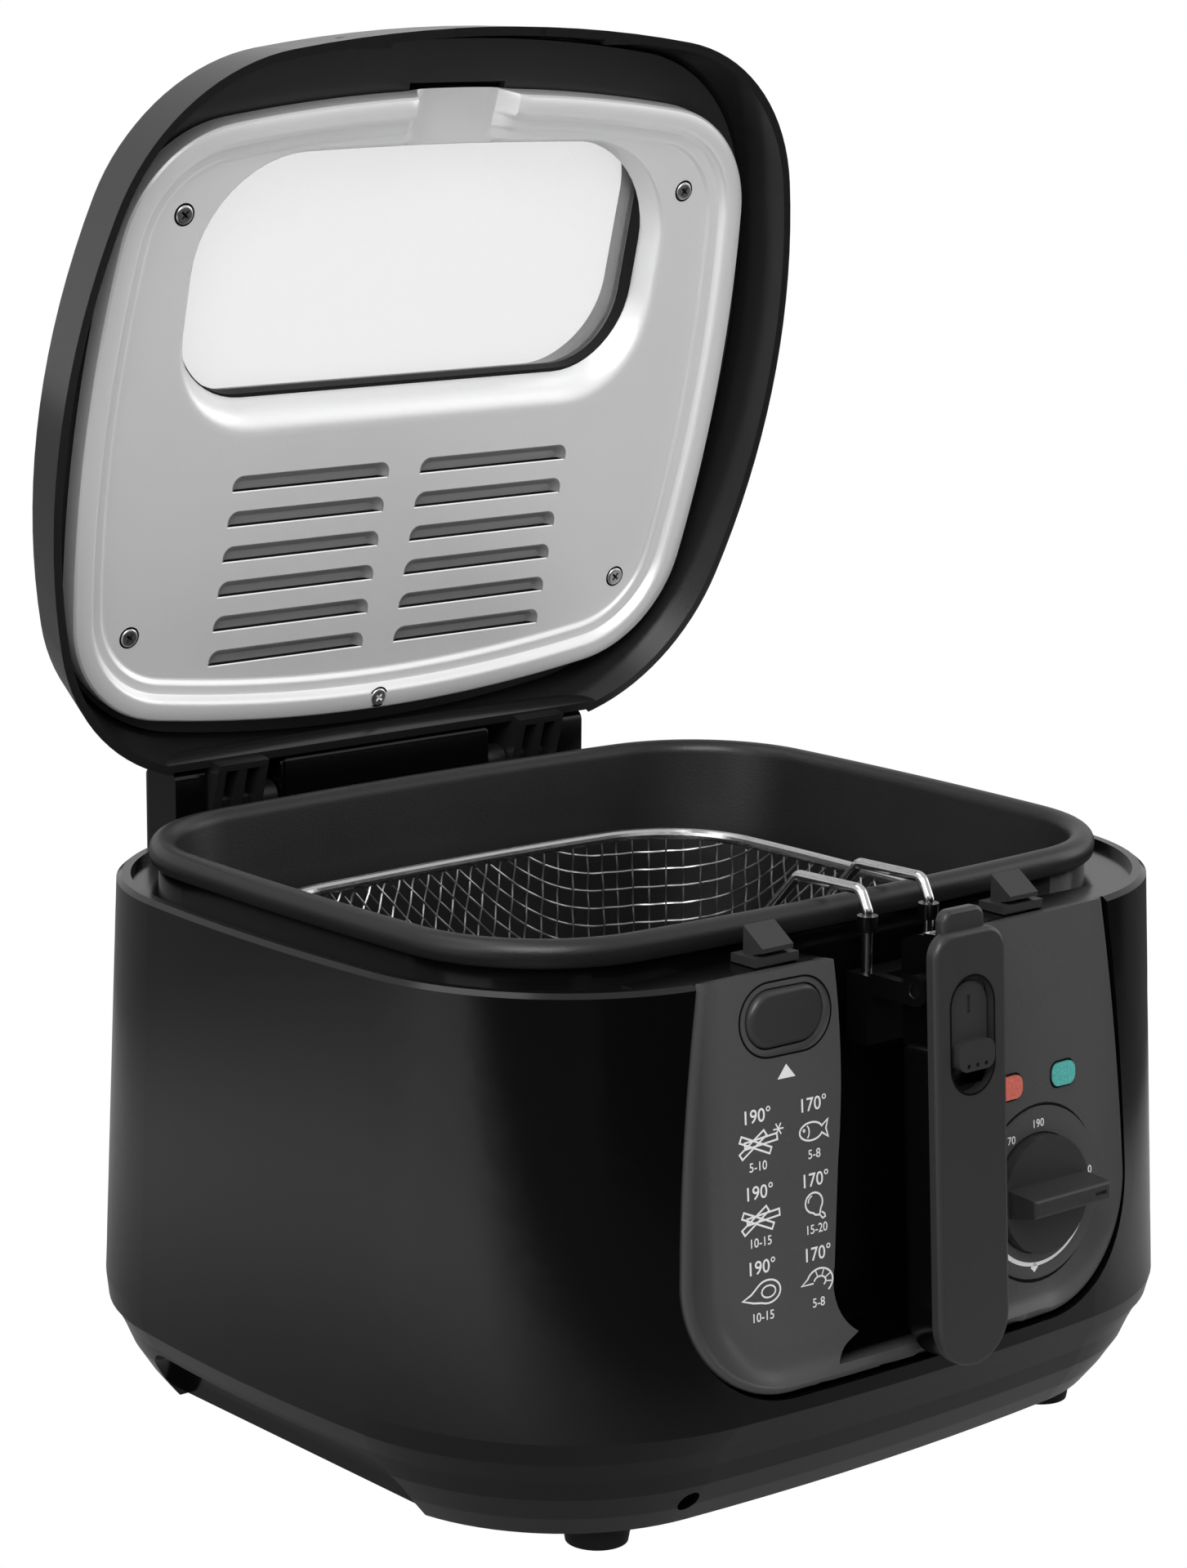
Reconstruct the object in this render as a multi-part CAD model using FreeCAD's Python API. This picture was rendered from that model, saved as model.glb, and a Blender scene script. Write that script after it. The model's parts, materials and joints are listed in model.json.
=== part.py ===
"""Deep fryer: body with hinge riser, non-stick pot, wire basket with folding handle, and a
spring-opened lid with a window.  Millimetres.  X runs to the right seen from the front, Y to the
back and Z up; the origin is on the floor under the middle of the body."""
import FreeCAD, Part
import math
import os

from FreeCAD import Vector as V

# ---- body plan: (half width, half depth, front radius, side radius, corner radius, middle y)
BODY_PLAN = (135.0, 115.0, 800.0, 588.0, 68.0, 0.0)
SKIRT_PLAN = (130.3, 115.0, 800.0, 588.0, 68.0, 0.0)
BASE_PLAN = (133.4, 115.0, 800.0, 588.0, 68.0, 0.0)
LID_PLAN = (133.4, 114.9, 476.0, 224.0, 64.0, 0.2)
LINER_PLAN = (118.6, 96.4, 538.0, 429.0, 39.0, 4.1)
POT_PLAN = (120.9, 98.6, 1150.0, 1030.0, 46.0, 4.2)
BASKET_PLAN = (88.0, 73.0, 900.0, 800.0, 34.0, 7.0)

# ---- heights
TOP_Z = 155.0
SKIRT_Z = 38.0
WAIST_Z = 32.0
BASE_Z = 7.0

# ---- body shell
SIDE_FLARE = 8.5
WAIST_OUT = 5.3
BASE_IN = 10.4
WALL = 2.5
DECK = 5.5
GUTTER_DEPTH = 2.2
GUTTER_IN = 4.0

DRAIN_X = -72.4
DRAIN_Z = 14.7
DRAIN_R = 3.0

# ---- pot
POT_SEAT_Z = TOP_Z + 2.4
POT_CREST_Z = POT_SEAT_Z + 7.2
POT_FLOOR_Z = 38.0
POT_WALL = 1.6
POT_FLOOR_WALL = 2.2
POT_LIP_IN = 7.4
POT_DRAFT_IN = 16.0
POT_FLOOR_R = 18.0
POT_COLLAR_OUT = -2.6
POT_OPENING_OUT = -6.0

# ---- lid hinge and riser
HINGE_Y = 121.0
HINGE_Z = TOP_Z + 5.0
LID_OPEN = 76.0
COVE_R = 14.4
RISER_HALF_W = 78.0
RISER_FRONT_Y = 115.8
RISER_BACK_Y = 134.5
RISER_TOP_Z = TOP_Z + 17.3
RISER_CORNER = 5.0
PIN_R = 2.0
PIN_RUN = 0.06
ARM_IN = 48.0
ARM_OUT = 66.0
ARM_RIB = 3.0
ARM_BOSS_R = 6.6
POCKET_SIDE = 1.2
POCKET_FRONT_Y = 103.2
POCKET_BACK_Y = 129.6
POCKET_Z = TOP_Z - 3.6
SPRING_R = 4.6
COVER_HALF_W = 39.0
COVER_SCREW_X = 24.7
COVER_SCREW_R = 3.2
COVER_SCREW_Z = RISER_TOP_Z - 9.1

# ---- lid, heights of the closed lid
RIM_Z = TOP_Z + 1.5
LID_WALL = 2.5
FLANGE_Z = RIM_Z + 8.5
PANEL_Z = FLANGE_Z + 4.4
FRAME_Z = PANEL_Z + 3.2
FRAME_T = 2.4
SHEET = 0.8
FLANGE_W = 7.5
SLOPE_W = 5.0
WINDOW_SURROUND = 34.0
WINDOW_HALF_W = LINER_PLAN[0] - WINDOW_SURROUND
WINDOW_BACK_Y = -0.3
WINDOW_FRONT_Y = -76.5
WINDOW_CORNER = 24.0
WINDOW_WELL = 8.0
GLASS_Z = PANEL_Z + 12.0
GLASS_T = 3.2
NOTCH_HALF_W = 17.0
NOTCH_H = 1.2
CHANNEL_HALF_W = 14.5
CHANNEL_Z = PANEL_Z + 3.5
CROWN_Z = RIM_Z + 37.5
LOUVRE_IN = 5.9
LOUVRE_OUT = 62.9
LOUVRE_PITCH = 10.96
LOUVRE_FIRST_Y = 25.7
LOUVRE_ROWS = 6
LOUVRE_H = 4.6
LOUVRE_SINK = 2.2
FILTER_T = 6.0
SCREW_X = 92.4
SCREW_FRONT_Y = -59.0
SCREW_BACK_Y = 67.9
SCREW_MID_Y = 96.3
SCREW_HEAD = 1.5

# ---- front panel, in the leaning frame of the front
DRAFT = math.degrees(math.atan2(SIDE_FLARE, TOP_Z - SKIRT_Z))
PANEL_TOP_HALF_W = 74.8
PANEL_HALF_W = 82.6
PANEL_SIDE_Z = 77.0
PANEL_FLOOR_Z = 42.7
PANEL_T = 4.0
PANEL_ROUND = 2.6
PANEL_SET = 0.4
PANEL_GAP = 1.0
CHANNEL_LEFT = 31.5
CHANNEL_RIGHT = 17.0
CHANNEL_WALL = 2.2
CHANNEL_BACK_Y = -98.5
CHANNEL_FLOOR_Z = 47.4
LEDGE_HALF_W = 14.0
REST_GAP = 0.3

# ---- controls
BUTTON_X = -47.6
BUTTON_Z = 142.9
BUTTON_W = 30.0
BUTTON_H = 19.3
BUTTON_LAND = 1.6
BUTTON_PLAY = 0.35
BUTTON_TRAVEL = 4.0
BUTTON_OUT = 1.4
BUTTON_T = 8.0
LAMP_Z = 109.6
LAMP_W = 9.1
LAMP_H = 6.5
LAMP_OFFSET = 11.0
DIAL_X = 44.0
DIAL_Z = 78.2
DIAL_R = 24.4
DIAL_SINK = 1.1
KNOB_R = 16.4
KNOB_T = 3.4
GRIP_LEN = 30.0
GRIP_OUT = 13.2
GRIP_FACE = 4.8
GRIP_ROOT = 8.0
SHAFT_R = 3.0

# ---- latch
HOOK_X = 45.6
HOOK_W = 10.8
HOOK_TOP_Y = -101.2
HOOK_TOP_Z = RIM_Z + 8.5
HOOK_NOSE_Y = -108.6
HOOK_NOSE_Z = RIM_Z + 3.5
LATCH_BAR_Z = TOP_Z - 12.0
LATCH_BACK_Y = -92.6
PLATE_HALF_W = 7.6
PLATE_FRONT_Y = -108.4
PLATE_BACK_Y = -99.0
PLATE_TOP_Z = TOP_Z + 2.6

# ---- basket, wires and handle
BASKET_TOP_Z = TOP_Z - 16.0
BASKET_FLOOR_Z = 46.0
BASKET_TAPER = 8.0
BASKET_WALL = 1.5
WIRE_R = 1.5
RIM_WIRE_R = 1.8
WIRE_X = 11.3
WIRE_BACK_Y = -69.3
WIRE_FRONT_Y = -106.2
WIRE_TOP_Z = POT_CREST_Z + 4.3
COLLAR_Z = TOP_Z + 3.2
COLLAR_H = 4.2
COLLAR_R = 2.8
BRACKET_TOP_Z = TOP_Z - 8.2
BRACKET_FOOT_Z = 128.0
BRACKET_FRONT_Y = -109.4
BRACKET_BACK_Y = -101.5
BRACKET_HALF_W = 13.8
PIVOT_Y = -125.3
PIVOT_Z = BRACKET_TOP_Z - 0.8
HANDLE_LEAN = 3.4
HANDLE_FACE_Y = -134.0
HANDLE_BACK_Y = -117.0
HANDLE_PART_Y = -130.4
HANDLE_HALF_W = 13.0
HANDLE_TOP_Z = PIVOT_Z + 15.5
HANDLE_FOOT_Z = 44.0
KNUCKLE_HALF_W = 8.8
KNUCKLE_R = 14.3
SLIDE_Z = PIVOT_Z - 12.4
SLIDE_W = 15.8
SLIDE_H = 31.4
SLIDE_TRAVEL = 4.5

FRONT_Y = -BODY_PLAN[1]
X_AXIS = V(1, 0, 0)
Z_AXIS = V(0, 0, 1)


# ---------------------------------------------------------------- helpers
def plan_wire(plan, outset, z):
    """Outline of a rectangle with bulged sides and round corners, moved outwards by outset."""
    half_w, half_d, front_r, side_r, corner_r, mid_y = plan
    back_c = half_d - front_r
    side_c = half_w - side_r
    far_a = front_r - corner_r
    far_b = side_r - corner_r
    span = math.hypot(side_c, back_c)
    along = (far_a ** 2 - far_b ** 2 + span ** 2) / (2 * span)
    across = math.sqrt(far_a ** 2 - along ** 2)
    ux = side_c / span
    uy = -back_c / span
    cx = along * ux + across * uy
    cy = back_c + along * uy - across * ux
    n1 = V(cx, cy - back_c, 0).normalize()
    n2 = V(cx - side_c, cy, 0).normalize()
    n3 = (n1 + n2).normalize()
    t1 = V(0, back_c, 0) + n1 * (front_r + outset)
    t2 = V(side_c, 0, 0) + n2 * (side_r + outset)
    tm = V(cx, cy, 0) + n3 * (corner_r + outset)

    def at(point, sx, sy):
        return V(point.x * sx, point.y * sy + mid_y, z)

    back = V(0, half_d + outset, 0)
    side = V(half_w + outset, 0, 0)
    arcs = [
        (at(t1, -1, 1), at(back, 1, 1), at(t1, 1, 1)),
        (at(t1, 1, 1), at(tm, 1, 1), at(t2, 1, 1)),
        (at(t2, 1, 1), at(side, 1, 1), at(t2, 1, -1)),
        (at(t2, 1, -1), at(tm, 1, -1), at(t1, 1, -1)),
        (at(t1, 1, -1), at(back, 1, -1), at(t1, -1, -1)),
        (at(t1, -1, -1), at(tm, -1, -1), at(t2, -1, -1)),
        (at(t2, -1, -1), at(side, -1, 1), at(t2, -1, 1)),
        (at(t2, -1, 1), at(tm, -1, 1), at(t1, -1, 1)),
    ]
    return Part.Wire([Part.Arc(*arc).toShape() for arc in arcs])


def tower(plan, sections):
    """Solid through (height, outset) sections of one plan."""
    return Part.makeLoft([plan_wire(plan, outset, z) for z, outset in sections], True, True)


def body_tower(sections):
    """Solid through (plan, height, outset) sections whose plans differ."""
    return Part.makeLoft([plan_wire(plan, outset, z) for plan, z, outset in sections], True, True)


def slab(plan, outset, low, high):
    """Straight-sided solid on a plan."""
    return Part.Face(plan_wire(plan, outset, low)).extrude(V(0, 0, high - low))


def box(x0, x1, y0, y1, z0, z1):
    return Part.makeBox(x1 - x0, y1 - y0, z1 - z0, V(x0, y0, z0))


def rod(radius, start, end):
    """Round bar from one point to another."""
    way = end - start
    return Part.makeCylinder(radius, way.Length, start, way)


def cone(r0, r1, start, end):
    way = end - start
    return Part.makeCone(r0, r1, way.Length, start, way)


def fused(shapes):
    first = shapes[0]
    return first.multiFuse(shapes[1:]).removeSplitter() if len(shapes) > 1 else first


def mirrored(shape):
    return shape.mirror(V(0, 0, 0), X_AXIS)


def both(shape):
    """A shape and its mirror image on the other side, as separate solids."""
    return Part.makeCompound([shape, mirrored(shape)])


def outline(points, place):
    """Face through points; a point written (a, b, 'arc', c, d) ends an arc that passes a, b."""
    edges = []
    here = place(*points[0][:2])
    first = here
    for item in points[1:]:
        if len(item) == 2:
            there = place(*item)
            edges.append(Part.makeLine(here, there))
        else:
            there = place(item[3], item[4])
            edges.append(Part.Arc(here, place(item[0], item[1]), there).toShape())
        here = there
    if here.distanceToPoint(first) > 1e-6:
        edges.append(Part.makeLine(here, first))
    return Part.Face(Part.Wire(edges))


def side_prism(points, x0, x1):
    """Prism along X over a (y, z) outline."""
    return outline(points, lambda y, z: V(x0, y, z)).extrude(V(x1 - x0, 0, 0))


def front_prism(points, y0, y1):
    """Prism along Y over an (x, z) outline."""
    return outline(points, lambda x, z: V(x, y0, z)).extrude(V(0, y1 - y0, 0))


def round_rect(cx, cy, w, h, r):
    """Outline points of a rectangle with round corners."""
    x0, x1, y0, y1 = cx - w / 2, cx + w / 2, cy - h / 2, cy + h / 2
    k = r * (1 - math.sqrt(0.5))
    points = [(x0 + r, y0)]
    if x1 - x0 > 2 * r + 1e-6:
        points.append((x1 - r, y0))
    points.append((x1 - k, y0 + k, "arc", x1, y0 + r))
    if y1 - y0 > 2 * r + 1e-6:
        points.append((x1, y1 - r))
    points.append((x1 - k, y1 - k, "arc", x1 - r, y1))
    if x1 - x0 > 2 * r + 1e-6:
        points.append((x0 + r, y1))
    points.append((x0 + k, y1 - k, "arc", x0, y1 - r))
    if y1 - y0 > 2 * r + 1e-6:
        points.append((x0, y0 + r))
    points.append((x0 + k, y0 + k, "arc", x0 + r, y0))
    return points


def flat_wire(cx, cy, w, h, r, z):
    """Horizontal wire of a rectangle with round corners."""
    return outline(round_rect(cx, cy, w, h, r), lambda x, y: V(x, y, z)).OuterWire


def bent_wire(points, bend, radius):
    """Round wire along a polyline whose corners are bent to one radius."""
    edges = []
    here = points[0]
    for i in range(1, len(points) - 1):
        back = (points[i - 1] - points[i]).normalize()
        ahead = (points[i + 1] - points[i]).normalize()
        half = back.getAngle(ahead) / 2
        cut = bend / math.tan(half)
        middle = (back + ahead).normalize()
        centre = points[i] + middle * (bend / math.sin(half))
        start = points[i] + back * cut
        end = points[i] + ahead * cut
        edges.append(Part.makeLine(here, start))
        edges.append(Part.Arc(start, centre - middle * bend, end).toShape())
        here = end
    edges.append(Part.makeLine(here, points[-1]))
    path = Part.Wire(edges)
    ring = Part.Wire(Part.makeCircle(radius, points[0], points[1] - points[0]))
    return path.makePipeShell([ring], True, False)


def wire_section(radius, centre, way, sides):
    """Many-sided section of a long round wire, which keeps its facets few."""
    side = way.cross(Z_AXIS).normalize()
    corners = []
    for i in range(sides + 1):
        turn = 2 * math.pi * i / sides
        corners.append(centre + side * (radius * math.cos(turn)) + Z_AXIS * (radius * math.sin(turn)))
    return Part.makePolygon(corners)


def leaning(shape):
    """Leans a piece of the upright front back to the draft of the body."""
    moved = shape.copy()
    moved.rotate(V(0, FRONT_Y, TOP_Z), X_AXIS, -DRAFT)
    return moved


def open_lid(shape):
    """Swings a piece of the closed lid to the open rest position."""
    moved = shape.copy()
    moved.rotate(V(0, HINGE_Y, HINGE_Z), X_AXIS, -LID_OPEN)
    return moved


def hung(shape):
    """Leans a piece of the upright handle about its pivot."""
    moved = shape.copy()
    moved.rotate(V(0, PIVOT_Y, PIVOT_Z), X_AXIS, -HANDLE_LEAN)
    return moved


def hinge_rod(radius, x0, x1):
    return rod(radius, V(x0, HINGE_Y, HINGE_Z), V(x1, HINGE_Y, HINGE_Z))


def pivot_rod(radius, x0, x1):
    return rod(radius, V(x0, PIVOT_Y, PIVOT_Z), V(x1, PIVOT_Y, PIVOT_Z))


# ---------------------------------------------------------------- front panel outline
def panel_outline(grow):
    """U shape of the front panel, wider by grow on every side but the top."""
    top = PANEL_TOP_HALF_W + grow
    wide = PANEL_HALF_W + grow
    low = PANEL_FLOOR_Z - grow
    turn = PANEL_SIDE_Z - PANEL_FLOOR_Z + grow
    k = turn * (1 - math.sqrt(0.5))
    middle = (top + wide) / 2 + 1.3
    middle_z = (TOP_Z + PANEL_SIDE_Z) / 2
    return [
        (-top, TOP_Z + 0.4),
        (-middle, middle_z, "arc", -wide, PANEL_SIDE_Z),
        (-wide + k, low + k, "arc", -wide + turn, low),
        (wide - turn, low),
        (wide - k, low + k, "arc", wide, PANEL_SIDE_Z),
        (middle, middle_z, "arc", top, TOP_Z + 0.4),
    ]


def front_ring(depth_in, depth_out, z0, z1):
    """Curved layer that follows the bulge of the front."""
    radius = BODY_PLAN[2]
    centre = V(0, FRONT_Y + radius, z0)
    outer = Part.makeCylinder(radius + depth_out, z1 - z0, centre)
    inner = Part.makeCylinder(radius - depth_in, z1 - z0, centre)
    reach = box(-100, 100, FRONT_Y - 40, FRONT_Y + 40, z0, z1)
    return outer.cut(inner).common(reach)


def panel_layer(grow, depth_in, depth_out):
    blank = front_prism(panel_outline(grow), FRONT_Y - 40, FRONT_Y + 40)
    return blank.common(front_ring(depth_in, depth_out, PANEL_FLOOR_Z - 6, TOP_Z + 1))


# ---------------------------------------------------------------- body
def riser_outline():
    """Side outline of the hinge riser behind the pot."""
    return [
        (RISER_FRONT_Y, TOP_Z - 8),
        (RISER_FRONT_Y, RISER_TOP_Z - 3),
        (RISER_FRONT_Y + 1, RISER_TOP_Z - 0.8, "arc", RISER_FRONT_Y + 4, RISER_TOP_Z),
        (RISER_BACK_Y - 8.5, RISER_TOP_Z),
        (RISER_BACK_Y - 2.4, RISER_TOP_Z - 2.8, "arc", RISER_BACK_Y, RISER_TOP_Z - 9),
        (RISER_BACK_Y, TOP_Z - 18),
        (-FRONT_Y + 1.0, TOP_Z - 48),
        (-FRONT_Y - 1.5, TOP_Z - 48),
        (-FRONT_Y - 1.5, TOP_Z - 8),
    ]


def arm_pocket():
    """Room in the riser for one hinge arm and its spring."""
    return box(ARM_IN - POCKET_SIDE - 7.0, ARM_OUT + POCKET_SIDE, POCKET_FRONT_Y, POCKET_BACK_Y,
               POCKET_Z, RISER_TOP_Z + 5)


def housing():
    outer = body_tower([(BODY_PLAN, TOP_Z, -1.5), (BODY_PLAN, TOP_Z - 1.2, 0.0),
                        (SKIRT_PLAN, SKIRT_Z, SIDE_FLARE), (BASE_PLAN, WAIST_Z, WAIST_OUT)])
    cavity = body_tower([(BODY_PLAN, TOP_Z - DECK, -WALL), (SKIRT_PLAN, SKIRT_Z, SIDE_FLARE - WALL),
                         (BASE_PLAN, WAIST_Z - 1, WAIST_OUT - WALL)])
    riser = side_prism(riser_outline(), -RISER_HALF_W, RISER_HALF_W)
    plan = Part.Face(flat_wire(0, RISER_BACK_Y - 40, 2 * RISER_HALF_W, 80, RISER_CORNER, 90))
    riser = riser.common(plan.extrude(V(0, 0, 100)))
    shell = outer.cut(cavity)
    gutter = slab(BODY_PLAN, -GUTTER_IN, TOP_Z - GUTTER_DEPTH, TOP_Z + 1)
    shell = shell.cut(gutter.cut(box(-90, 90, FRONT_Y - 5, CHANNEL_BACK_Y, TOP_Z - 5, TOP_Z + 2)))
    seat = slab(POT_PLAN, POT_COLLAR_OUT, TOP_Z - GUTTER_DEPTH - 1, POT_SEAT_Z)
    shell = shell.fuse([seat, riser])
    shell = shell.cut(slab(POT_PLAN, POT_OPENING_OUT, TOP_Z - DECK - 5, POT_SEAT_Z + 1))
    pocket = arm_pocket()
    pin_hole = hinge_rod(PIN_R, ARM_IN - 12.0, RISER_HALF_W - 3.0)
    shell = shell.cut([pocket, mirrored(pocket), pin_hole, mirrored(pin_hole)])
    # the hinge cover sits in a shallow seat of the middle block
    shell = shell.cut(hinge_cover_blank(0.0))
    # front opening for the panel and its channel
    shell = shell.cut(leaning(panel_layer(PANEL_GAP, 9.0, 30.0)))
    wall = CHANNEL_WALL + 0.2
    shell = shell.cut(box(-CHANNEL_LEFT - wall, CHANNEL_RIGHT + wall, FRONT_Y - 20,
                          CHANNEL_BACK_Y + wall, CHANNEL_FLOOR_Z, POT_SEAT_Z - 2))
    for sign in (-1, 1):
        slot = box(sign * HOOK_X - HOOK_W / 2 - 0.6, sign * HOOK_X + HOOK_W / 2 + 0.6,
                   HOOK_NOSE_Y - 1.0, HOOK_TOP_Y + BUTTON_TRAVEL + 1.0, TOP_Z - DECK - 2, TOP_Z + 2)
        shell = shell.cut(slot)
    button_room = box(BUTTON_X - BUTTON_W / 2, BUTTON_X + BUTTON_W / 2, FRONT_Y - 5, FRONT_Y + 13,
                      BUTTON_Z - BUTTON_H / 2, BUTTON_Z + BUTTON_H / 2)
    gland_hole = rod(6.0, V(-60, -FRONT_Y - 8, 50), V(-60, -FRONT_Y + 14, 50))
    return shell.cut([button_room, gland_hole]).removeSplitter()


def base_tray():
    """Rounded foot part of the body with the finger grips and floor vents."""
    outer = tower(BASE_PLAN, [(WAIST_Z, WAIST_OUT - 0.6), (26.0, 1.6), (20.0, -1.0), (13.0, -5.6),
                              (BASE_Z, -BASE_IN)])
    tray = outer.cut(slab(BASE_PLAN, -17.0, BASE_Z + 2.5, WAIST_Z + 1))
    grip = front_prism([(-150, 24.4), (-131, 24.4), (-121.5, 20.6, "arc", -117.0, 11.0),
                        (-117.0, 0.0), (-150, 0.0)], -60, 60)
    grip = grip.common(side_prism(round_rect(0, 7.0, 113.0, 34.8, 11.0), -150, -100))
    cuts = [grip, mirrored(grip)]
    for i in range(-3, 4):
        cuts.append(box(i * 14 - 2, i * 14 + 2, -30, 30, 0, BASE_Z + 5))
    drain = V(DRAIN_X, FRONT_Y - 3, DRAIN_Z)
    cuts.append(rod(DRAIN_R, drain, drain + V(0, 16, 0)))
    tray = tray.cut(cuts)
    posts = [rod(4.0, V(x, y, BASE_Z + 2), V(x, y, 22.0)) for x in (-70, 70) for y in (-50, 62)]
    return fused([tray] + posts)


def feet():
    """Four rubber feet."""
    made = []
    for x in (-84, 84):
        for y in (-84, 84):
            made.append(cone(8.4, 9.6, V(x, y, 0), V(x, y, BASE_Z)))
    return Part.makeCompound(made)


def heat_shield():
    plate = slab(BASE_PLAN, -32.0, 22.0, 22.8)
    return plate.cut(rod(11, V(0, 6, 20), V(0, 6, 25)))


def heating_element():
    """Tubular heater loop pressed on the underside of the pot, with its two cold ends."""
    z = POT_FLOOR_Z - POT_FLOOR_WALL - 3.2
    loop = flat_wire(0, 4, 120, 84, 26, z)
    section = wire_section(3.2, V(0, 4 - 42, z), X_AXIS, 8)
    return loop.makePipeShell([section], True, False)


def terminal_block():
    return box(20, 58, 72, 84, 22.8, 40).fuse(box(16, 62, 76, 80, 22.8, 27))


def thermal_cutout():
    """Safety cut-out clipped against the floor of the pot."""
    low = POT_FLOOR_Z - POT_FLOOR_WALL
    disc = rod(8.0, V(0, 6, low - 7), V(0, 6, low))
    stem = rod(5.0, V(0, 6, 22.8), V(0, 6, low - 7))
    rim = rod(12.5, V(0, 6, 22.8), V(0, 6, 24.0))
    return fused([disc, stem, rim])


def cord_gland():
    """Inlet sleeve for the mains lead, low on the back."""
    back = -FRONT_Y + SIDE_FLARE - 1.2
    sleeve = rod(6.0, V(-60, back - 9, 50), V(-60, back + 3, 50))
    flange = rod(8.5, V(-60, back - 0.4, 50), V(-60, back + 2.0, 50))
    bore = rod(3.4, V(-60, back - 12, 50), V(-60, back + 8, 50))
    return fused([sleeve, flange]).cut(bore)


# ---------------------------------------------------------------- pot
def pot():
    rim_out = tower(POT_PLAN, [(POT_SEAT_Z, -0.7), (POT_SEAT_Z + 2.4, 0.0),
                               (POT_CREST_Z - 1.9, -1.0), (POT_CREST_Z - 0.5, -2.6),
                               (POT_CREST_Z, -4.4)])
    deep = POT_FLOOR_Z - POT_FLOOR_WALL
    low = -POT_LIP_IN - POT_DRAFT_IN
    wall = POT_WALL
    k = POT_FLOOR_R * (1 - math.sqrt(0.5))
    body_out = tower(POT_PLAN, [(POT_SEAT_Z, -POT_LIP_IN + wall - 0.4),
                                (POT_FLOOR_Z + POT_FLOOR_R, low + wall),
                                (POT_FLOOR_Z + k, low - k + wall * 0.7),
                                (deep, low - POT_FLOOR_R * 0.8)])
    inside = tower(POT_PLAN, [(POT_CREST_Z + 0.01, -5.2), (POT_CREST_Z - 1.2, -POT_LIP_IN + 0.5),
                              (POT_CREST_Z - 3.4, -POT_LIP_IN),
                              (POT_FLOOR_Z + POT_FLOOR_R, low),
                              (POT_FLOOR_Z + k, low - k),
                              (POT_FLOOR_Z, low - POT_FLOOR_R)])
    return rim_out.fuse(body_out).cut(inside).removeSplitter()


# ---------------------------------------------------------------- hinge parts on the body
def hinge_cover_blank(inset):
    return box(-COVER_HALF_W + inset, COVER_HALF_W - inset, RISER_FRONT_Y - 0.5, RISER_FRONT_Y + 1.6,
               TOP_Z + 1.6, RISER_TOP_Z - 1.8)


def hinge_cover():
    behind = box(-COVER_HALF_W - 11, COVER_HALF_W + 11, 0, RISER_FRONT_Y - 0.2, 0, 2 * TOP_Z)
    plate = hinge_cover_blank(0.0).cut(behind)
    heads = []
    for x in (-COVER_SCREW_X, COVER_SCREW_X):
        heads.append(rod(COVER_SCREW_R + 0.2, V(x, RISER_FRONT_Y - 2, COVER_SCREW_Z),
                         V(x, RISER_FRONT_Y + 0.7, COVER_SCREW_Z)))
    return plate.cut(heads)


def cover_screws():
    x, z = COVER_SCREW_X, COVER_SCREW_Z
    head = rod(COVER_SCREW_R, V(x, RISER_FRONT_Y - 0.5, z), V(x, RISER_FRONT_Y + 0.7, z))
    slot = box(x - 1.4, x + 1.4, RISER_FRONT_Y - 1, RISER_FRONT_Y + 0.2, z - 0.3, z + 0.3)
    return both(head.cut(slot))


def hinge_pins():
    return both(hinge_rod(PIN_R, ARM_IN - 12.0, RISER_HALF_W - 3.0))


def hinge_springs():
    """Torsion springs that push the lid open, wound round the pins beside the arms."""
    x0 = ARM_IN - 7.4
    coil = hinge_rod(SPRING_R, x0, ARM_IN - 0.6).cut(hinge_rod(PIN_R + 0.5, x0 - 1, ARM_IN))
    leg = box(x0, x0 + 1.6, HINGE_Y + 3.0, POCKET_BACK_Y, HINGE_Z - 3.8, HINGE_Z - 2.2)
    return both(coil.fuse(leg))


# ---------------------------------------------------------------- lid
def lid_outer():
    return tower(LID_PLAN, [(RIM_Z, 0.0), (CROWN_Z - 18.6, -4.9), (CROWN_Z - 11.5, -10.2),
                            (CROWN_Z - 6.0, -16.4), (CROWN_Z - 2.6, -25.0), (CROWN_Z, -57.0)])


def lid_inner():
    top = CROWN_Z - LID_WALL
    return tower(LID_PLAN, [(RIM_Z - 0.5, -LID_WALL), (top - 16.9, -7.2), (top - 10.5, -12.2),
                            (top - 5.3, -18.0), (top - 2.6, -25.4), (top, -57.0)])


def window_well(grow, low, high):
    """Flared well of the window through the top of the lid."""
    mid = (WINDOW_FRONT_Y + WINDOW_BACK_Y) / 2
    w = 2 * WINDOW_HALF_W + 2 * grow
    h = WINDOW_BACK_Y - WINDOW_FRONT_Y + 2 * grow
    r = WINDOW_CORNER + grow
    flare = 7.0
    return Part.makeLoft([flat_wire(0, mid, w, h, r, low),
                          flat_wire(0, mid, w + 2 * flare, h + 2 * flare, r + flare, high)],
                         True, True)


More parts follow.
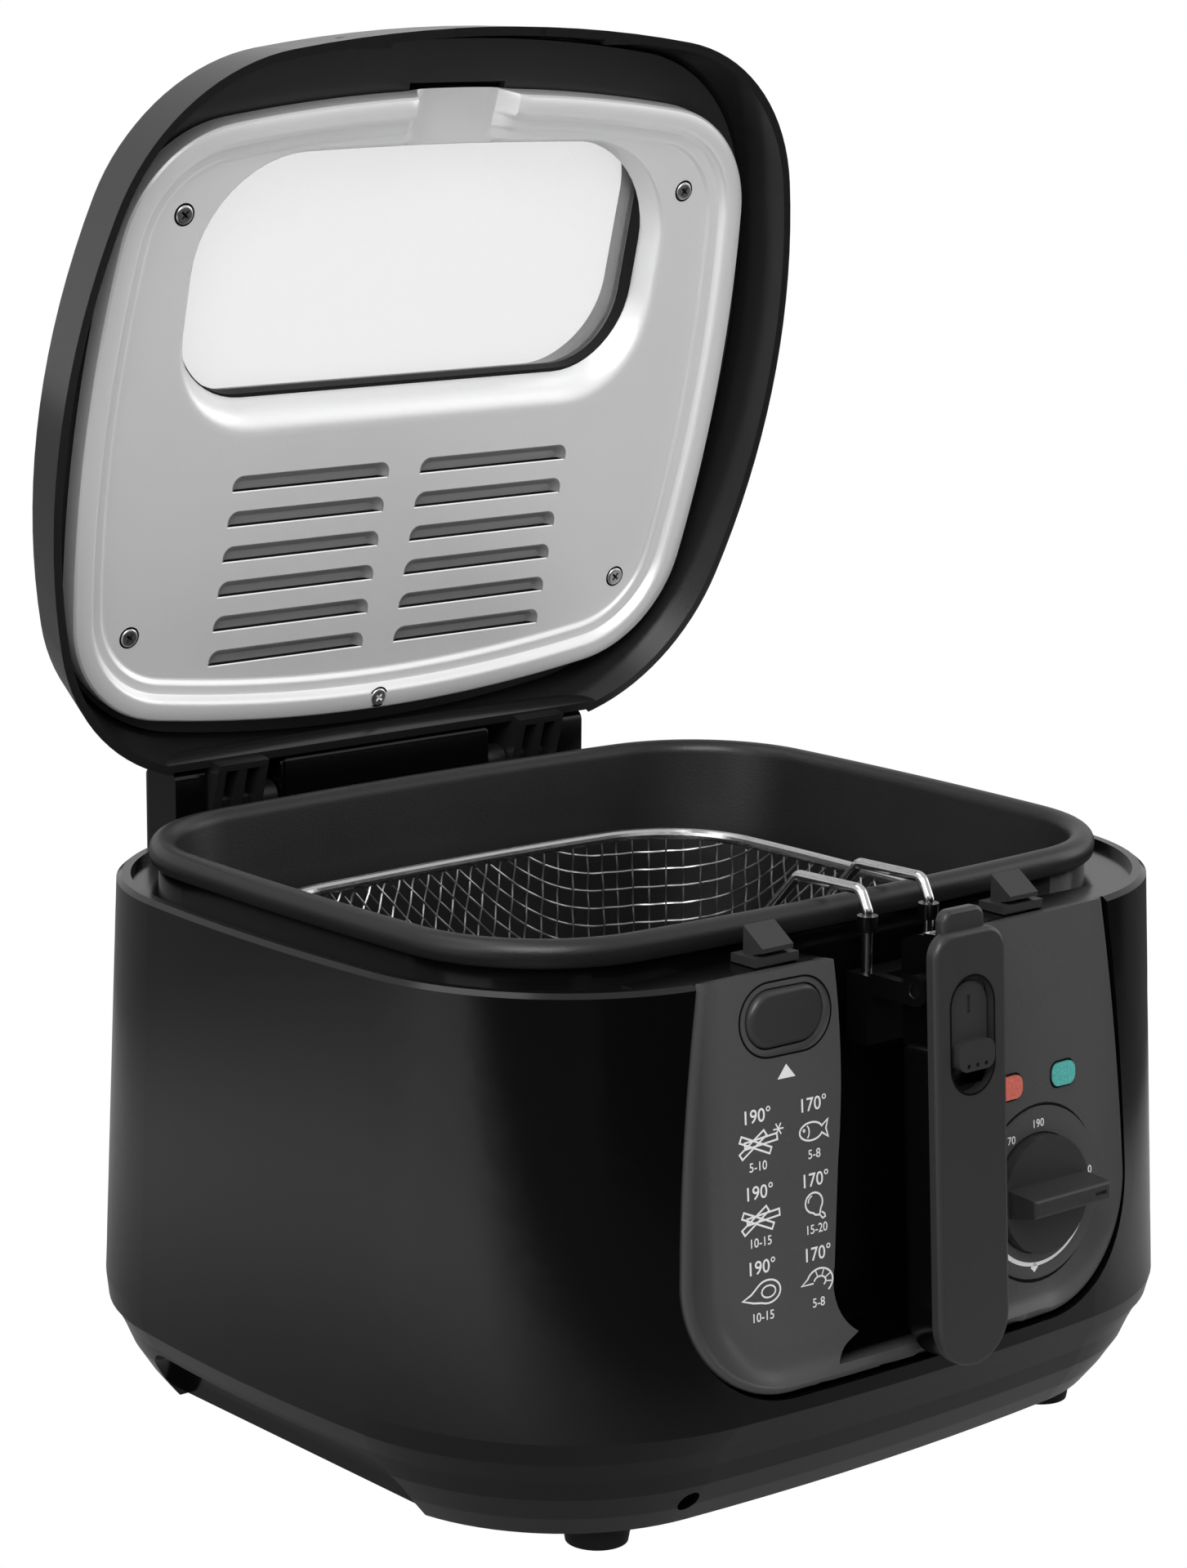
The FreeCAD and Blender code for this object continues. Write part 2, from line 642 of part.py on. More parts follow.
def hinge_arm():
    """Ribbed arm of the lid that turns on the hinge pin."""
    front, foot = HINGE_Y - 15.0, HINGE_Z - 7.1
    ribs = []
    for x in (ARM_IN, (ARM_IN + ARM_OUT - ARM_RIB) / 2, ARM_OUT - ARM_RIB):
        ribs.append(side_prism([(front, foot), (HINGE_Y, HINGE_Z - ARM_BOSS_R),
                                (HINGE_Y, HINGE_Z + ARM_BOSS_R), (HINGE_Y - 9.0, HINGE_Z + 7.4),
                                (front + 0.2, HINGE_Z + 6.0)], x, x + ARM_RIB))
        ribs.append(hinge_rod(ARM_BOSS_R, x, x + ARM_RIB))
    web = box(ARM_IN, ARM_OUT, front - 0.7, front + 1.4, foot, HINGE_Z)
    tube = hinge_rod(PIN_R + 2.0, ARM_IN, ARM_OUT)
    arm = fused(ribs + [web, tube])
    return arm.cut(hinge_rod(PIN_R + PIN_RUN, ARM_IN - 1, ARM_OUT + 1))


def lid_shell():
    outer = lid_outer()
    shell = outer.cut(lid_inner())
    cove_wall = hinge_rod(COVE_R + LID_WALL, -82, 82).common(outer)
    shell = shell.fuse(cove_wall)
    shell = shell.cut(hinge_rod(COVE_R, -(RISER_HALF_W + 1.6), RISER_HALF_W + 1.6))
    shell = shell.cut(window_well(1.6, GLASS_Z, CROWN_Z + 6.0))
    vents = []
    for i in range(5):
        y = 30.0 + i * 11.0
        vents.append(box(-45, 45, y, y + 2.6, CROWN_Z - 8.0, CROWN_Z + 6.0))
    notch = box(-NOTCH_HALF_W, NOTCH_HALF_W, FRONT_Y - 5, FRONT_Y + 8, RIM_Z - 1, RIM_Z + NOTCH_H)
    shell = shell.cut(vents + [notch])
    arm = hinge_arm()
    # each hook enters a pocket of the front wall and holds a lip at its mouth
    pocket = box(HOOK_X - 6.6, HOOK_X + 6.6, HOOK_NOSE_Y - 1.3, HOOK_TOP_Y + 8, RIM_Z - 1, HOOK_TOP_Z + 0.8)
    lip = box(HOOK_X - 6.6, HOOK_X + 6.6, HOOK_NOSE_Y - 2.4, HOOK_NOSE_Y - 0.3, RIM_Z, RIM_Z + 1.9)
    lip = lip.common(outer)
    shell = shell.cut([pocket, mirrored(pocket)])
    shell = shell.fuse([arm, mirrored(arm), lip, mirrored(lip)])
    return open_lid(shell.removeSplitter())


def window_frame():
    """Bezel that fills the flared well and holds the pane down."""
    blank = window_well(1.6, GLASS_Z, CROWN_Z + 6.0)
    ring = blank.cut(window_well(-1.4, GLASS_Z - 0.1, CROWN_Z + 6.5))
    top = lid_outer()
    above = box(-200, 200, -200, 200, 0, GLASS_Z + GLASS_T)
    return open_lid(ring.common(top).cut(above))


def window_glass():
    mid = (WINDOW_FRONT_Y + WINDOW_BACK_Y) / 2
    h = WINDOW_BACK_Y - WINDOW_FRONT_Y
    wire = flat_wire(0, mid, 2 * WINDOW_HALF_W + 2.8, h + 2.8, WINDOW_CORNER + 1.4, GLASS_Z)
    return open_lid(Part.Face(wire).extrude(V(0, 0, GLASS_T)))


def window_gasket():
    """Soft ring between the liner and the pane."""
    mid = (WINDOW_FRONT_Y + WINDOW_BACK_Y) / 2
    h = WINDOW_BACK_Y - WINDOW_FRONT_Y
    low = PANEL_Z + WINDOW_WELL
    up = V(0, 0, GLASS_Z - low)
    wide = Part.Face(flat_wire(0, mid, 2 * WINDOW_HALF_W + 2.8, h + 2.8, WINDOW_CORNER + 1.4, low))
    thin = Part.Face(flat_wire(0, mid, 2 * WINDOW_HALF_W - 2.4, h - 2.4, WINDOW_CORNER - 1.2, low))
    return open_lid(wide.extrude(up).cut(thin.extrude(up)))


def lid_inner_frame():
    """Shelf inside the lid that carries the liner, the filter and the window."""
    plate = slab(LID_PLAN, -LID_WALL - 5.3, FRAME_Z, FRAME_Z + FRAME_T)
    mid = (WINDOW_FRONT_Y + WINDOW_BACK_Y) / 2 + 3.0
    h = WINDOW_BACK_Y - WINDOW_FRONT_Y + 16.0
    hole = Part.Face(flat_wire(0, mid, 2 * WINDOW_HALF_W + 6.4, h, WINDOW_CORNER + 2, FRAME_Z - 1))
    cuts = [hole.extrude(V(0, 0, 10)), box(-68, 68, 17, 88, FRAME_Z - 1, FRAME_Z + 10),
            hinge_rod(COVE_R + LID_WALL + 0.1, -90, 90),
            box(-CHANNEL_HALF_W - 3, CHANNEL_HALF_W + 3, -94.0, -70, FRAME_Z - 1, FRAME_Z + 10)]
    plate = plate.cut(cuts)
    bosses = []
    for x, y, z in screw_places():
        bosses.append(rod(3.2, V(x, y, z + SHEET), V(x, y, FRAME_Z + 0.5)))
    plate = fused([plate] + bosses)
    holes = [rod(1.5, V(x, y, z), V(x, y, FRAME_Z + FRAME_T + 1)) for x, y, z in screw_places()]
    return open_lid(plate.cut(holes))


def screw_places():
    """Screws of the liner: four on the panel and one on the flange by the hinge."""
    return [(-SCREW_X, SCREW_FRONT_Y, PANEL_Z), (SCREW_X, SCREW_FRONT_Y, PANEL_Z),
            (-SCREW_X, SCREW_BACK_Y, PANEL_Z), (SCREW_X, SCREW_BACK_Y, PANEL_Z),
            (0.0, SCREW_MID_Y, FLANGE_Z + SCREW_HEAD)]


def window_tub(grow, low, high):
    """Sloped window surround of the liner, from the panel up to the pane."""
    mid = (WINDOW_FRONT_Y + WINDOW_BACK_Y) / 2
    w = 2 * WINDOW_HALF_W + 2 * grow
    h = WINDOW_BACK_Y - WINDOW_FRONT_Y + 2 * grow
    r = WINDOW_CORNER + grow
    return Part.makeLoft([flat_wire(0, mid + 3.2, w + 6.8, h + 12.8, r + 3.0, low),
                          flat_wire(0, mid, w, h, r, high)], True, True)


def lid_liner():
    """Pressed steel lining of the lid with its flange, window surround, channel and louvres."""
    lip = -FLANGE_W
    step = lip - SLOPE_W
    sheet = slab(LINER_PLAN, 0.0, FLANGE_Z, FRAME_Z)
    face = tower(LINER_PLAN, [(FLANGE_Z - 0.01, lip), (PANEL_Z, step)])
    hollow = slab(LINER_PLAN, -SHEET, FLANGE_Z + SHEET, FRAME_Z + 1)
    hill = tower(LINER_PLAN, [(FLANGE_Z, lip + 0.9), (PANEL_Z + SHEET, step + 0.7)])
    liner = sheet.cut(face).cut(hollow.cut(hill))
    well_z = PANEL_Z + WINDOW_WELL
    surround = window_tub(SHEET, PANEL_Z, well_z).cut(window_tub(0.0, PANEL_Z - 0.1, well_z + 0.1))
    liner = liner.cut(window_tub(0.0, PANEL_Z - 1, well_z + 1)).fuse(surround)
    # front channel for the handle wires
    front = LINER_PLAN[5] - LINER_PLAN[1]
    back = WINDOW_FRONT_Y - 2.0
    room = side_prism([(front - 3, FLANGE_Z - 1), (back, FLANGE_Z - 1), (back, CHANNEL_Z),
                       (front - 3, CHANNEL_Z)], -CHANNEL_HALF_W, CHANNEL_HALF_W)
    skin = side_prism([(front, FLANGE_Z), (back, FLANGE_Z + 5), (back, CHANNEL_Z + SHEET),
                       (front, CHANNEL_Z + SHEET)], -CHANNEL_HALF_W - SHEET, CHANNEL_HALF_W + SHEET)
    liner = liner.fuse(skin).cut(room)
    cuts = []
    flaps = []
    for row in range(LOUVRE_ROWS):
        y = LOUVRE_FIRST_Y + row * LOUVRE_PITCH
        cuts.append(box(LOUVRE_IN, LOUVRE_OUT, y - LOUVRE_H, y, PANEL_Z - 1, PANEL_Z + SHEET + 1))
        flaps.append(side_prism([(y - LOUVRE_H - 0.3, PANEL_Z), (y, PANEL_Z + LOUVRE_SINK),
                                 (y, PANEL_Z + LOUVRE_SINK + SHEET),
                                 (y - LOUVRE_H - 0.3, PANEL_Z + SHEET)],
                                LOUVRE_IN - 0.2, LOUVRE_OUT + 0.2))
    liner = liner.cut(cuts + [mirrored(c) for c in cuts])
    liner = liner.fuse(flaps + [mirrored(f) for f in flaps])
    holes = [rod(1.7, V(x, y, z - 2), V(x, y, z + 3)) for x, y, z in screw_places()]
    sunk = screw_places()[-1]
    holes.append(rod(3.3, V(sunk[0], sunk[1], FLANGE_Z - 1), V(sunk[0], sunk[1], sunk[2])))
    return open_lid(liner.cut(holes).removeSplitter())


def liner_screws():
    made = []
    for x, y, z in screw_places():
        head = cone(2.4, 3.2, V(x, y, z - SCREW_HEAD), V(x, y, z))
        shank = rod(1.5, V(x, y, z), V(x, y, FRAME_Z + 1.5))
        cross = box(x - 1.6, x + 1.6, y - 0.35, y + 0.35, z - 2, z - 0.8)
        made.append(open_lid(head.fuse(shank).cut(cross)))
    return Part.makeCompound(made)


def odour_filter():
    """Filter pad that lies on the shelf over the louvres."""
    side = LOUVRE_OUT + 9.1
    front = LOUVRE_FIRST_Y - 11.7
    back = LOUVRE_FIRST_Y + (LOUVRE_ROWS - 1) * LOUVRE_PITCH + 10.5
    low = FRAME_Z + FRAME_T
    return open_lid(box(-side, side, front, back, low, low + FILTER_T))


# ---------------------------------------------------------------- front panel and controls
def channel_outline(grow, top):
    """Outline of the handle channel: straight on the right, swelling to a tip low on the left."""
    left = CHANNEL_LEFT + grow
    right = CHANNEL_RIGHT + grow
    low = CHANNEL_FLOOR_Z - grow
    return [(-left, top), (-left + 2.0, 134.0, "arc", -left + 0.1, 102.0), (-left - 2.2, 74.0),
            (-left - 0.4, 61.0, "arc", -left + 5.6, 55.0), (-left + 1.6, 52.8),
            (-left - 0.6, 50.4, "arc", -left - 1.4, low), (right, low), (right, top)]


def fascia():
    """U-shaped front panel in one piece with the channel that the handle folds into."""
    plate = panel_layer(0.0, PANEL_T, -PANEL_SET)
    front = [e for e in plate.Edges if front_edge(e)]
    plate = leaning(plate.makeFillet(PANEL_ROUND, front))
    tub = front_prism(channel_outline(CHANNEL_WALL, TOP_Z - 0.2), FRONT_Y - 12,
                      CHANNEL_BACK_Y + CHANNEL_WALL)
    front_skin = leaning(panel_layer(0.0, 60.0, -PANEL_SET))
    tub = tub.common(front_skin)
    room = front_prism(channel_outline(0.0, TOP_Z + 5), FRONT_Y - 40, CHANNEL_BACK_Y)
    ledge = box(-LEDGE_HALF_W, LEDGE_HALF_W, CHANNEL_BACK_Y - 5.5, CHANNEL_BACK_Y + 0.5,
                BRACKET_FOOT_Z - 3.5, BRACKET_FOOT_Z - REST_GAP)
    panel = plate.fuse(tub).cut(room).fuse(ledge)
    recess = front_prism(round_rect(BUTTON_X, BUTTON_Z, BUTTON_W, BUTTON_H, BUTTON_H / 2),
                         FRONT_Y - 20, FRONT_Y + 1.2)
    land = 2 * BUTTON_LAND
    hole = front_prism(round_rect(BUTTON_X, BUTTON_Z, BUTTON_W - land, BUTTON_H - land,
                                  BUTTON_H / 2 - BUTTON_LAND), FRONT_Y - 20, FRONT_Y + 30)
    lamps = [leaning(front_prism(round_rect(x, LAMP_Z, LAMP_W, LAMP_H, 2.6), FRONT_Y - 20,
                                 FRONT_Y + 20)) for x in (DIAL_X - LAMP_OFFSET, DIAL_X + LAMP_OFFSET)]
    dial = leaning(rod(DIAL_R, dial_point(-30), dial_point(DIAL_SINK)))
    bore = leaning(rod(SHAFT_R + 2.0, dial_point(-30), dial_point(20)))
    return panel.cut([recess, hole, dial, bore] + lamps).removeSplitter()


def front_edge(edge):
    """True for the outer rim edges of the panel, sides and foot, on its front face."""
    point = edge.CenterOfMass
    radius = BODY_PLAN[2] - PANEL_SET
    reach = math.hypot(point.x, point.y - (FRONT_Y + BODY_PLAN[2]))
    return abs(reach - radius) < 0.6 and point.z < TOP_Z - 2


def dial_point(inward):
    """Point on the knob's axis, before the front leans, by its depth behind the panel's face."""
    bulge = DIAL_X ** 2 / (2 * BODY_PLAN[2])
    return V(DIAL_X, FRONT_Y + PANEL_SET + bulge + inward, DIAL_Z)


def dial_ring():
    """Printed scale ring round the knob."""
    disc = rod(DIAL_R - 0.3, dial_point(0.2), dial_point(DIAL_SINK))
    return leaning(disc.cut(rod(KNOB_R + 0.5, dial_point(-1), dial_point(DIAL_SINK + 1))))


def thermostat_knob():
    """Turning knob with a bar grip; its pointer end is to the right at zero."""
    disc = rod(KNOB_R, dial_point(-KNOB_T), dial_point(0.4))
    face = dial_point(-KNOB_T).y
    end = face - GRIP_OUT + KNOB_T
    half = GRIP_LEN / 2
    grip = side_prism([(face + 1, DIAL_Z - GRIP_ROOT / 2), (end, DIAL_Z - GRIP_FACE / 2),
                       (end, DIAL_Z + GRIP_FACE / 2), (face + 1, DIAL_Z + GRIP_ROOT / 2)],
                      DIAL_X - half, DIAL_X + half)
    rims = [e for e in grip.Edges if e.CenterOfMass.y < end + 0.01]
    grip = grip.makeFillet(1.0, rims)
    socket = rod(SHAFT_R + PIN_RUN, dial_point(-2.0), dial_point(PANEL_T + 1))
    slot = box(DIAL_X + half - 6.4, DIAL_X + half - 2.0, end - 1, end + 0.8, DIAL_Z - 0.5,
               DIAL_Z + 0.5)
    hub = rod(SHAFT_R + 1.6, dial_point(0.4), dial_point(PANEL_T))
    return leaning(fused([disc, grip, hub]).cut([socket, slot]))


def thermostat():
    """Thermostat behind the panel with the shaft that carries the knob."""
    can = rod(14.0, dial_point(PANEL_T + 0.9), dial_point(18))
    shaft = rod(SHAFT_R, dial_point(-1.4), dial_point(PANEL_T + 1))
    tab = box(DIAL_X, DIAL_X + 18, dial_point(16).y, dial_point(17.4).y, DIAL_Z - 4, DIAL_Z + 4)
    return leaning(fused([can, shaft, tab]))


def lamp(x):
    """Lens of one signal lamp with its holder behind the panel."""
    bulge = x ** 2 / (2 * BODY_PLAN[2])
    face = FRONT_Y + PANEL_SET + bulge
    lens = front_prism(round_rect(x, LAMP_Z, LAMP_W, LAMP_H, 2.6), face - 0.7, face + PANEL_T + 0.3)
    holder = box(x - 6, x + 6, face + PANEL_T + 0.3, face + 14, LAMP_Z - 4.5, LAMP_Z + 4.5)
    return leaning(lens.fuse(holder))


def release_button():
    """Pill-shaped button that pushes the latch bar back."""
    cut = 2 * (BUTTON_LAND + BUTTON_PLAY)
    bulge = BUTTON_X ** 2 / (2 * BODY_PLAN[2])
    face = FRONT_Y + bulge - BUTTON_OUT
    r = BUTTON_H / 2 - BUTTON_LAND - BUTTON_PLAY
    cap = front_prism(round_rect(BUTTON_X, BUTTON_Z, BUTTON_W - cut, BUTTON_H - cut, r),
                      face, face + BUTTON_T)
    rims = [e for e in cap.Edges if abs(e.CenterOfMass.y - face) < 0.01]
    return cap.makeFillet(1.8, rims)


def latch_bar():
    """Sliding bar behind the handle channel with a wedge hook at each end."""
    bulge = BUTTON_X ** 2 / (2 * BODY_PLAN[2])
    front = FRONT_Y + bulge - BUTTON_OUT + BUTTON_T
    end = HOOK_X + HOOK_W / 2
    hooks = [box(-end, end, LATCH_BACK_Y - 3.0, LATCH_BACK_Y, LATCH_BAR_Z - 9, LATCH_BAR_Z - 1)]
    for sign in (-1, 1):
        x0 = sign * HOOK_X - HOOK_W / 2
        x1 = sign * HOOK_X + HOOK_W / 2
        hook = side_prism([(HOOK_TOP_Y, HOOK_TOP_Z), (HOOK_NOSE_Y, HOOK_NOSE_Z),
                           (HOOK_NOSE_Y, HOOK_NOSE_Z - 1.2), (HOOK_NOSE_Y + 3.6, HOOK_NOSE_Z - 2.2),
                           (HOOK_NOSE_Y + 3.6, LATCH_BAR_Z), (HOOK_TOP_Y, LATCH_BAR_Z)], x0, x1)
        hooks.append(hook)
        hooks.append(box(x0, x1, HOOK_NOSE_Y + 3.6, LATCH_BACK_Y, LATCH_BAR_Z - 9, LATCH_BAR_Z + 3))
        # a plate on the stem closes the slot of the deck
        hooks.append(box(sign * HOOK_X - PLATE_HALF_W, sign * HOOK_X + PLATE_HALF_W, PLATE_FRONT_Y,
                         PLATE_BACK_Y, TOP_Z + REST_GAP, PLATE_TOP_Z))
    reach = box(BUTTON_X - 5, BUTTON_X + 5, front, HOOK_TOP_Y, LATCH_BAR_Z - 4, LATCH_BAR_Z + 3)
    return fused(hooks + [reach])


def latch_springs():
    """Return springs behind the latch hooks, seated on the body wall of the pot well."""
    made = []
    for x in (-HOOK_X, HOOK_X):
        start = V(x, LATCH_BACK_Y + BUTTON_TRAVEL + 0.4, LATCH_BAR_Z - 5)
        ring = rod(2.6, start, start + V(0, 2.6, 0))
        made.append(ring.cut(rod(1.6, start - V(0, 1, 0), start + V(0, 9, 0))))
    return Part.makeCompound(made)


# ---------------------------------------------------------------- basket
def basket():
    """Mesh tub of the basket as a thin wall."""
    outer = tower(BASKET_PLAN, [(BASKET_TOP_Z, 0.0), (BASKET_FLOOR_Z + 12, -BASKET_TAPER + 1),
                                (BASKET_FLOOR_Z + 3.5, -BASKET_TAPER - 3),
                                (BASKET_FLOOR_Z, -BASKET_TAPER - 10)])
    t = BASKET_WALL
    inner = tower(BASKET_PLAN, [(BASKET_TOP_Z + 1, -t), (BASKET_FLOOR_Z + 12.5, -BASKET_TAPER + 1 - t),
                                (BASKET_FLOOR_Z + 4.5, -BASKET_TAPER - 3 - t),
                                (BASKET_FLOOR_Z + t, -BASKET_TAPER - 10.8)])
    return outer.cut(inner)


def basket_rim():
    """Bright rim wire round the mouth of the basket."""
    z = BASKET_TOP_Z + RIM_WIRE_R
    path = plan_wire(BASKET_PLAN, -BASKET_WALL / 2, z)
    start = path.Edges[0].valueAt(path.Edges[0].FirstParameter)
    heading = path.Edges[0].tangentAt(path.Edges[0].FirstParameter)
    section = wire_section(RIM_WIRE_R, start, heading, 12)
    return path.makePipeShell([section], True, False)


def basket_arm(sign):
    """Wire from the basket over the rim of the pot and down into the handle bracket."""
    x = sign * WIRE_X
    points = [V(x, WIRE_BACK_Y, BASKET_FLOOR_Z + 24), V(x, WIRE_BACK_Y, POT_CREST_Z - 7.1),
              V(x, WIRE_BACK_Y - 10.3, WIRE_TOP_Z - 0.6), V(x, WIRE_FRONT_Y + 2.8, WIRE_TOP_Z),
              V(x, WIRE_FRONT_Y, WIRE_TOP_Z - 5.5), V(x, WIRE_FRONT_Y, BRACKET_TOP_Z - 12)]
    return bent_wire(points, 2.6, WIRE_R)


def basket_arms():
    return Part.makeCompound([basket_arm(-1), basket_arm(1)])


def basket_stays():
    """Short wires that tie the arms to the basket wall under the rim."""
    made = []
    wall = BASKET_PLAN[5] - BASKET_PLAN[1]
    for z in (BASKET_TOP_Z - 6.0, BASKET_TOP_Z - 40.0):
        inset = 0.0 if z > BASKET_TOP_Z - 20.0 else 2.4
        made.append(box(-16, 16, WIRE_BACK_Y + WIRE_R, wall + inset, z - 1.2, z + 1.2))
    return Part.makeCompound(made)


def wire_collars():
    """Black collars where the wires enter the bracket."""
    ring = rod(COLLAR_R, V(WIRE_X, WIRE_FRONT_Y, COLLAR_Z), V(WIRE_X, WIRE_FRONT_Y, COLLAR_Z + COLLAR_H))
    bore = rod(WIRE_R, V(WIRE_X, WIRE_FRONT_Y, COLLAR_Z - 1), V(WIRE_X, WIRE_FRONT_Y, COLLAR_Z + 9))
    return both(ring.cut(bore))


def handle_bracket():
    """Block that holds both wires and carries the pivot of the folding handle."""
    block = box(-BRACKET_HALF_W, BRACKET_HALF_W, BRACKET_FRONT_Y, BRACKET_BACK_Y,
                BRACKET_FOOT_Z, BRACKET_TOP_Z)
    parts = [block]
    for x0, x1 in ((-12.6, -9.3), (9.3, 12.6)):
        parts.append(box(x0, x1, PIVOT_Y, BRACKET_FRONT_Y + 1, PIVOT_Z - 4.2, PIVOT_Z + 1.4))
        parts.append(pivot_rod(4.2, x0, x1))
    bracket = fused(parts)
    holes = []
    for x in (-WIRE_X, WIRE_X):
        holes.append(rod(WIRE_R, V(x, WIRE_FRONT_Y, BRACKET_TOP_Z - 12),
                         V(x, WIRE_FRONT_Y, WIRE_TOP_Z + 1.1)))
    return bracket.cut(holes + [pivot_rod(PIN_R, -20, 20)])


def handle_pin():
    return pivot_rod(PIN_R, -12.4, 12.4)


def handle_outline(half, top, foot, top_r):
    k = top_r * (1 - math.sqrt(0.5))
    low = foot + half
    return [(-half, low), (-half, top - top_r), (-half + k, top - k, "arc", -half + top_r, top),
            (half - top_r, top), (half - k, top - k, "arc", half, top - top_r), (half, low),
            (0, foot, "arc", -half, low)]


def handle_cover():
    """Front face of the handle with the recess of the slide."""
    blank = front_prism(handle_outline(HANDLE_HALF_W, HANDLE_TOP_Z, HANDLE_FOOT_Z, 6.5),
                        HANDLE_FACE_Y, HANDLE_PART_Y)
    rims = [e for e in blank.Edges if abs(e.CenterOfMass.y - HANDLE_FACE_Y) < 0.01]
    blank = blank.makeFillet(1.6, rims)
    hole = front_prism(round_rect(0, SLIDE_Z, SLIDE_W, SLIDE_H, SLIDE_W / 2), HANDLE_FACE_Y - 1,
                       HANDLE_PART_Y + 1)
    return hung(blank.cut([hole, catch_room()]))


def catch_room():
    """Way of the lock catch through the top of the handle."""
    return box(-7.9, 7.9, HANDLE_PART_Y - 1.3, -127.6, SLIDE_Z - 14, HANDLE_TOP_Z + 3)


def handle_back():
    """Back shell of the handle with the knuckle on the pivot pin."""
    thin = front_prism(handle_outline(HANDLE_HALF_W - 0.6, PIVOT_Z - 14.5, HANDLE_FOOT_Z + 0.8, 3.0),
                       HANDLE_PART_Y, HANDLE_BACK_Y - 2.0)
    rims = [e for e in thin.Edges if abs(e.CenterOfMass.y - HANDLE_BACK_Y + 2.0) < 0.01]
    thin = thin.makeFillet(3.0, rims)
    neck = box(-KNUCKLE_HALF_W, KNUCKLE_HALF_W, HANDLE_PART_Y, HANDLE_BACK_Y, PIVOT_Z - 16,
               HANDLE_TOP_Z - 0.6)
    neck = neck.common(pivot_rod(KNUCKLE_R, -20, 20).fuse(
        box(-20, 20, HANDLE_PART_Y, PIVOT_Y, PIVOT_Z - 20, HANDLE_TOP_Z)).fuse(
        box(-20, 20, HANDLE_PART_Y, HANDLE_BACK_Y, PIVOT_Z - 20, PIVOT_Z)))
    shell = thin.fuse(neck)
    return hung(shell.cut([catch_room(), pivot_rod(PIN_R + PIN_RUN, -20, 20)]))


def slide_button():
    """Sliding release of the handle lock, with its thumb lip at the lower end."""
    w = SLIDE_W - 2.6
    top = SLIDE_Z + SLIDE_H / 2 - 1.6
    low = top - SLIDE_H + 3.6 + SLIDE_TRAVEL
    mid = (top + low) / 2
    plate = front_prism(round_rect(0, mid, w, top - low, w / 2 - 0.01), HANDLE_FACE_Y + 1.4,
                        HANDLE_PART_Y - 1.3)
    lip = front_prism(round_rect(0, low + 4.0, w, 8.0, 3.0), HANDLE_FACE_Y - 1.6,
                      HANDLE_PART_Y - 1.3)
    groove = box(-0.6, 0.6, HANDLE_FACE_Y, HANDLE_FACE_Y + 2.0, top - 8.4, top - 3.6)
    return hung(fused([plate, lip]).cut(groove))


def lock_catch():
    """Catch at the top of the handle that the slide draws down."""
    return hung(box(-7.5, 7.5, HANDLE_PART_Y - 1.3, -127.9, SLIDE_Z - 8.6, HANDLE_TOP_Z + 5.5))


def save(name, shape):
    shape.exportStep("parts/" + name + ".step")


NODES = {
    "housing": housing,
    "base_tray": base_tray,
    "rubber_feet": feet,
    "heat_shield": heat_shield,
    "heating_element": heating_element,
    "terminal_block": terminal_block,
    "thermal_cutout": thermal_cutout,
    "cord_gland": cord_gland,
    "pot": pot,
    "hinge_cover": hinge_cover,
    "hinge_cover_screws": cover_screws,
    "hinge_pins": hinge_pins,
    "hinge_springs": hinge_springs,
    "lid_shell": lid_shell,
    "window_frame": window_frame,
    "window_glass": window_glass,
    "window_gasket": window_gasket,
    "lid_inner_frame": lid_inner_frame,
    "lid_liner": lid_liner,
    "liner_screws": liner_screws,
    "odour_filter": odour_filter,
    "fascia": fascia,
    "dial_ring": dial_ring,
    "thermostat_knob": thermostat_knob,
    "thermostat": thermostat,
    "lamp_red": lambda: lamp(DIAL_X - LAMP_OFFSET),
    "lamp_green": lambda: lamp(DIAL_X + LAMP_OFFSET),
    "release_button": release_button,
    "latch_bar": latch_bar,
    "latch_springs": latch_springs,
    "basket": basket,
    "basket_rim": basket_rim,
    "basket_arms": basket_arms,
    "basket_stays": basket_stays,
    "wire_collars": wire_collars,
    "handle_bracket": handle_bracket,
    "handle_pin": handle_pin,
    "handle_cover": handle_cover,
    "handle_back": handle_back,
    "slide_button": slide_button,
    "lock_catch": lock_catch,
}

os.makedirs("parts", exist_ok=True)
for node, make in NODES.items():
    save(node, make())
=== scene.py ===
import bisect
import bpy
import json
import math
from collections import namedtuple
from mathutils import Matrix, Vector
from mathutils.geometry import delaunay_2d_cdt

